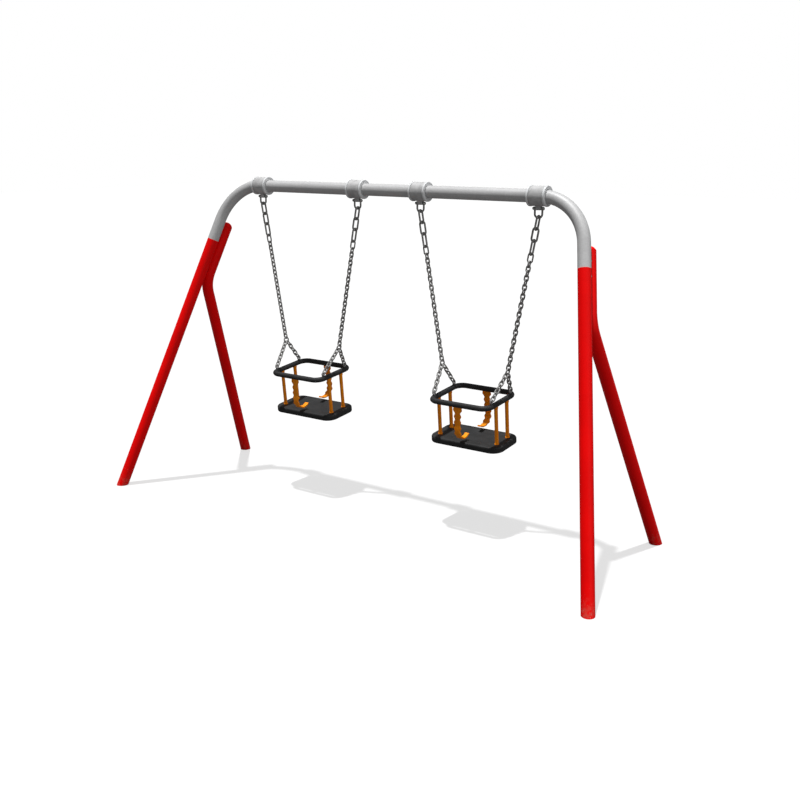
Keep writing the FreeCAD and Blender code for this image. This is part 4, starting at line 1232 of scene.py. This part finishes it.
def layered(loops):
    """Closed mesh from outlines of equal length, one after the other, with both ends filled."""
    shape = bmesh.new()
    rings = [[shape.verts.new((point.x, point.y, height)) for point in outline]
             for outline, height in loops]
    skin(shape, rings)
    for ring in (rings[0], rings[-1]):
        face = shape.faces.new(ring)
        bmesh.ops.inset_individual(shape, faces=[face], thickness=0.006)
    bmesh.ops.recalc_face_normals(shape, faces=shape.faces)
    return drawn(shape, "layers")


class SWING_OT_seats(bpy.types.Operator):
    """Moulds the top rings, platforms, posts and straps of the seats"""
    bl_idname = "swing.seats"
    bl_label = "Seats"

    def execute(self, context):
        bar_tree = bent_bar_tree()
        waved_tree = strap_tree()
        chain_tree = link_tree()
        for name, side in SIDES.items():
            matrix = seat_matrix(side)
            pieces = [
                (self.mould_ring(bar_tree), "ring_rubber", "black_rubber", "seat_ring"),
                (self.mould_platform(), "platform_rubber", "black_rubber", "seat_platform"),
                (self.mould_posts(), "post_sleeves", "orange_polymer", "seat_posts"),
                (self.mould_strap(waved_tree, -1), "front_strap_wave", "orange_polymer",
                 "front_strap"),
                (self.mould_strap(waved_tree, 1), "rear_strap_wave", "orange_polymer",
                 "rear_strap"),
                (self.bend_eyes(chain_tree, side), "eye_rings", "chain_steel", "eye_bolts"),
                (self.pocket_nuts(), "pocket_nuts", "zinc_fixings", "stud_nuts"),
            ]
            for mesh, piece, slot, node in pieces:
                mesh.transform(matrix)
                settle(mesh, f"{name}_{piece}", name + "_seat", slot, [f"{name}_{node}"])
        return {"FINISHED"}

    def mould_ring(self, tree):
        sizes = bpy.context.scene.swing_seats
        x, y = sizes.half_width, sizes.half_depth
        corners = [Vector((-x, -y, 0)), Vector((x, -y, 0)), Vector((x, y, 0)), Vector((-x, y, 0))]
        line = path_mesh(corners, [sizes.corner] * 4, closed=True)
        parts = [grown(tree, line, Thickness=sizes.rod, Sides=40, Steps=16, Seam=0.035,
                       Capped=False)]
        radius = sizes.rod / 2
        pad = [(radius - 0.006, 0), (radius - 0.006, 0.0105), (radius - 0.0015, 0.0098),
               (radius + 0.0004, 0.0080), (radius + 0.0012, 0.0058), (radius + 0.0012, 0)]
        for way, fore in QUARTERS:
            parts.append(lathe(pad, Vector((way * x, fore * sizes.eye_offset, 0)), Z_AXIS, 28))
        return smooth(merged(parts), 60)

    def mould_platform(self):
        sizes = bpy.context.scene.swing_seats
        top = -sizes.platform_drop
        low = top - sizes.thickness
        rounds = []
        for step in range(7):
            angle = math.pi / 2 * step / 6
            rounds.append((LOWER_ROUND * (1 - math.sin(angle)),
                           low + LOWER_ROUND * (1 - math.cos(angle))))
        for step in range(9):
            angle = math.pi / 2 * step / 8
            rounds.append((UPPER_ROUND * (1 - math.cos(angle)),
                           top - UPPER_ROUND * (1 - math.sin(angle))))
        rounds += [(inset, top - depth) for inset, depth in DISH_SLOPE]
        rounds += [(0.064, top - sizes.dish * 0.9), (0.082, top - sizes.dish)]
        rounds = [(inset, low + height) for inset, height in UNDERSIDE] + rounds
        slab = layered([(self.outline(inset), height) for inset, height in rounds])
        pocket = [(-0.004, 0), (-0.004, POCKET_MOUTH), (0.0, POCKET_MOUTH),
                  (0.0008, POCKET_RADIUS), (POCKET_DEPTH, POCKET_RADIUS), (POCKET_DEPTH, 0)]
        cutters = [lathe(pocket, mouth, Z_AXIS, 28) for mouth in post_places(low)]
        cutter = bpy.data.objects.new("cutter", merged(cutters))
        bpy.context.scene.collection.objects.link(cutter)
        slab = evaluated(slab, ("BOOLEAN", {"operation": "DIFFERENCE", "object": cutter,
                                            "solver": "EXACT"}))
        bpy.data.objects.remove(cutter)
        return smooth(slab, 35)

    def outline(self, inset):
        sizes = bpy.context.scene.swing_seats
        corner = max(sizes.platform_corner - inset, 0.012)
        return rounded_outline(sizes.platform_x - inset, sizes.platform_y - inset, corner, 14)

    def mould_posts(self):
        sizes = bpy.context.scene.swing_seats
        radius = sizes.post
        bottom = -sizes.platform_drop
        top = -sizes.rod / 2
        profile = [(bottom - 0.003, 0), (bottom - 0.003, radius + 0.0022),
                   (bottom + 0.0015, radius + 0.0022), (bottom + 0.0026, radius + 0.0016),
                   (bottom + 0.0034, radius + 0.0003), (bottom + 0.006, radius - 0.0002),
                   (bottom + 0.060, radius - 0.0003), (top - 0.060, radius - 0.0003),
                   (top - 0.012, radius - 0.0001), (top - 0.0085, radius + 0.0003),
                   (top - 0.0070, radius + 0.0012), (top - 0.0040, radius + 0.0018),
                   (top + 0.004, radius + 0.0018), (top + 0.006, 0)]
        posts = [lathe(profile, foot, Z_AXIS, 32) for foot in post_places(0)]
        return smooth(merged(posts), 45)

    def mould_strap(self, tree, fore):
        sizes = bpy.context.scene.swing_seats
        top = Vector((0, fore * sizes.half_depth, 0))
        bend = Vector((0, fore * (sizes.half_depth + sizes.strap_lean), -sizes.strap_drop))
        knee = bend - Y_AXIS * (fore * sizes.strap_reach)
        tip = knee + Vector((0, -fore * sizes.strap_tip, sizes.strap_rise))
        line = path_mesh([top, bend, knee, tip], [0, sizes.strap_bend, sizes.strap_knee, 0])
        return smooth(grown(tree, line, Width=sizes.strap_width, Thickness=sizes.strap_thickness,
                            Wave=sizes.scallop, Period=sizes.scallop_period, Flare=sizes.flare), 50)

    def bend_eyes(self, tree, side):
        sizes = bpy.context.scene.swing_seats
        chains = bpy.context.scene.swing_chains
        wire = chains.wire
        stem_top = STEM_TOP - sizes.eye
        stem = [(STEM_FOOT, 0), (STEM_FOOT, wire / 2), (stem_top, wire / 2), (stem_top, 0)]
        parts = []
        for way, fore in QUARTERS:
            across_bar = lower_run(side, way, fore)[4]
            centre = Vector((way * sizes.half_width, fore * sizes.eye_offset, eye_height()))
            grip = Vector((way * chains.split_half, 0, chains.split_height - sizes.height))
            lean = grip - centre
            up = Z_AXIS if across_bar else Vector((lean.x, 0, lean.z)).normalized()
            turn = X_AXIS if across_bar else Y_AXIS
            parts.append(links(tree, centre + up * sizes.eye, up, LONE, 1, 2 * sizes.eye,
                               wire, 2 * sizes.eye, (turn, turn), *EYE_DETAIL))
            parts.append(lathe(stem, centre, Z_AXIS, 20))
        return smooth(merged(parts), 50)

    def pocket_nuts(self):
        sizes = bpy.context.scene.swing_seats
        face = -sizes.platform_drop - sizes.thickness + POCKET_DEPTH
        nuts = [hex_prism(spot, -Z_AXIS, HEX_ACROSS, NUT_HEIGHT, HEX_CHAMFER)
                for spot in post_places(face)]
        return smooth(merged(nuts), 30)


class SWING_OT_fittings(bpy.types.Operator):
    """Gives the pieces that keep their own shape a finish"""
    bl_idname = "swing.fittings"
    bl_label = "Fittings"

    def execute(self, context):
        slots = {row["node"]: row["material_slot"] for row in frame["record"]["subparts"]}
        for name, node in frame["nodes"].items():
            node.data.materials.clear()
            node.data.materials.append(finish_for(slots[name]))
        return {"FINISHED"}


# ---------------------------------------------------------------- stage
FLOOR_HALF = 30.0
SUNS = (("overhead", (-0.077, -0.118, 1.0), 4.0, 1.5),    # name, towards it, strength, width
        ("side", (1.0, -0.15, 0.35), 0.8, 60))
AMBIENT = 0.24                # the white surroundings as light; the camera sees them at 1
CAMERA_X, CAMERA_Y, CAMERA_Z = 3.2568, -4.4641, 2.0178    # from below the bar's middle
CAMERA_DIP = 15.455           # degrees below level
CAMERA_TURN = 35.488          # degrees from straight ahead
LENS = 46.76
SHIFT = 0.0278


class SWING_OT_stage(bpy.types.Operator):
    """Lays the floor and sets the lights and the camera"""
    bl_idname = "swing.stage"
    bl_label = "Stage"

    def execute(self, context):
        scene = context.scene
        half = FLOOR_HALF
        mesh = bpy.data.meshes.new("floor")
        mesh.from_pydata([(-half, -half, 0), (half, -half, 0), (half, half, 0), (-half, half, 0)],
                         [], [(0, 1, 2, 3)])
        mesh.materials.append(pale_floor())
        floor = bpy.data.objects.new("floor", mesh)
        scene.collection.objects.link(floor)
        for name, towards, strength, width in SUNS:
            self.sun(name, towards, strength, width)
        world = bpy.data.worlds.new("studio")
        world.use_nodes = True
        sky = Nodes(world.node_tree)
        seen = sky.amount("ShaderNodeLightPath", None, None, "Is Camera Ray")
        background = world.node_tree.nodes["Background"]
        background.inputs["Color"].default_value = (1, 1, 1, 1)
        strength = AMBIENT + (1 - AMBIENT) * seen
        world.node_tree.links.new(strength.socket, background.inputs["Strength"])
        scene.world = world
        scene.view_settings.view_transform = "Standard"
        data = bpy.data.cameras.new("camera")
        data.sensor_width = 36
        data.lens = LENS
        data.shift_y = SHIFT
        data.clip_end = 200
        camera = bpy.data.objects.new("camera", data)
        camera.location = (CAMERA_X, CAMERA_Y + BAR.y, CAMERA_Z)
        camera.rotation_euler = (math.radians(90 - CAMERA_DIP), 0, math.radians(CAMERA_TURN))
        scene.collection.objects.link(camera)
        scene.camera = camera
        return {"FINISHED"}

    def sun(self, name, towards, strength, width):
        """Even light from one direction; the wider it is, in degrees, the softer its shadows."""
        data = bpy.data.lights.new(name, "SUN")
        data.energy = strength
        data.angle = math.radians(width)
        lamp = bpy.data.objects.new(name, data)
        lamp.location = towards
        lamp.rotation_euler = Vector(towards).to_track_quat("Z", "Y").to_euler()
        bpy.context.scene.collection.objects.link(lamp)


class SWING_PT_panel(bpy.types.Panel):
    bl_idname = "SWING_PT_panel"
    bl_label = "Swing set"
    bl_space_type = "VIEW_3D"
    bl_region_type = "UI"
    bl_category = "Swing set"

    def draw(self, context):
        for group in ("swing_frame", "swing_hangers", "swing_chains", "swing_seats",
                      "swing_finishes"):
            box = self.layout.box()
            settings = getattr(context.scene, group)
            for key in settings.__annotations__:
                box.prop(settings, key)
        for operator in OPERATORS:
            self.layout.operator(operator.bl_idname)


GROUPS = {"swing_frame": FrameSizes, "swing_hangers": HangerSizes, "swing_chains": ChainSizes,
          "swing_seats": SeatSizes, "swing_finishes": Finishes}
OPERATORS = (SWING_OT_stage, SWING_OT_frame, SWING_OT_hangers, SWING_OT_chains, SWING_OT_seats,
             SWING_OT_fittings)


def register():
    for group in GROUPS.values():
        bpy.utils.register_class(group)
    for name, group in GROUPS.items():
        setattr(bpy.types.Scene, name, bpy.props.PointerProperty(type=group))
    for operator in OPERATORS:
        bpy.utils.register_class(operator)
    bpy.utils.register_class(SWING_PT_panel)


def unregister():
    bpy.utils.unregister_class(SWING_PT_panel)
    for operator in reversed(OPERATORS):
        bpy.utils.unregister_class(operator)
    for name, group in GROUPS.items():
        delattr(bpy.types.Scene, name)
        bpy.utils.unregister_class(group)


def main():
    register()
    for operator in OPERATORS:
        family, name = operator.bl_idname.split(".")
        getattr(getattr(bpy.ops, family), name)()


if __name__ == "__main__":
    main()
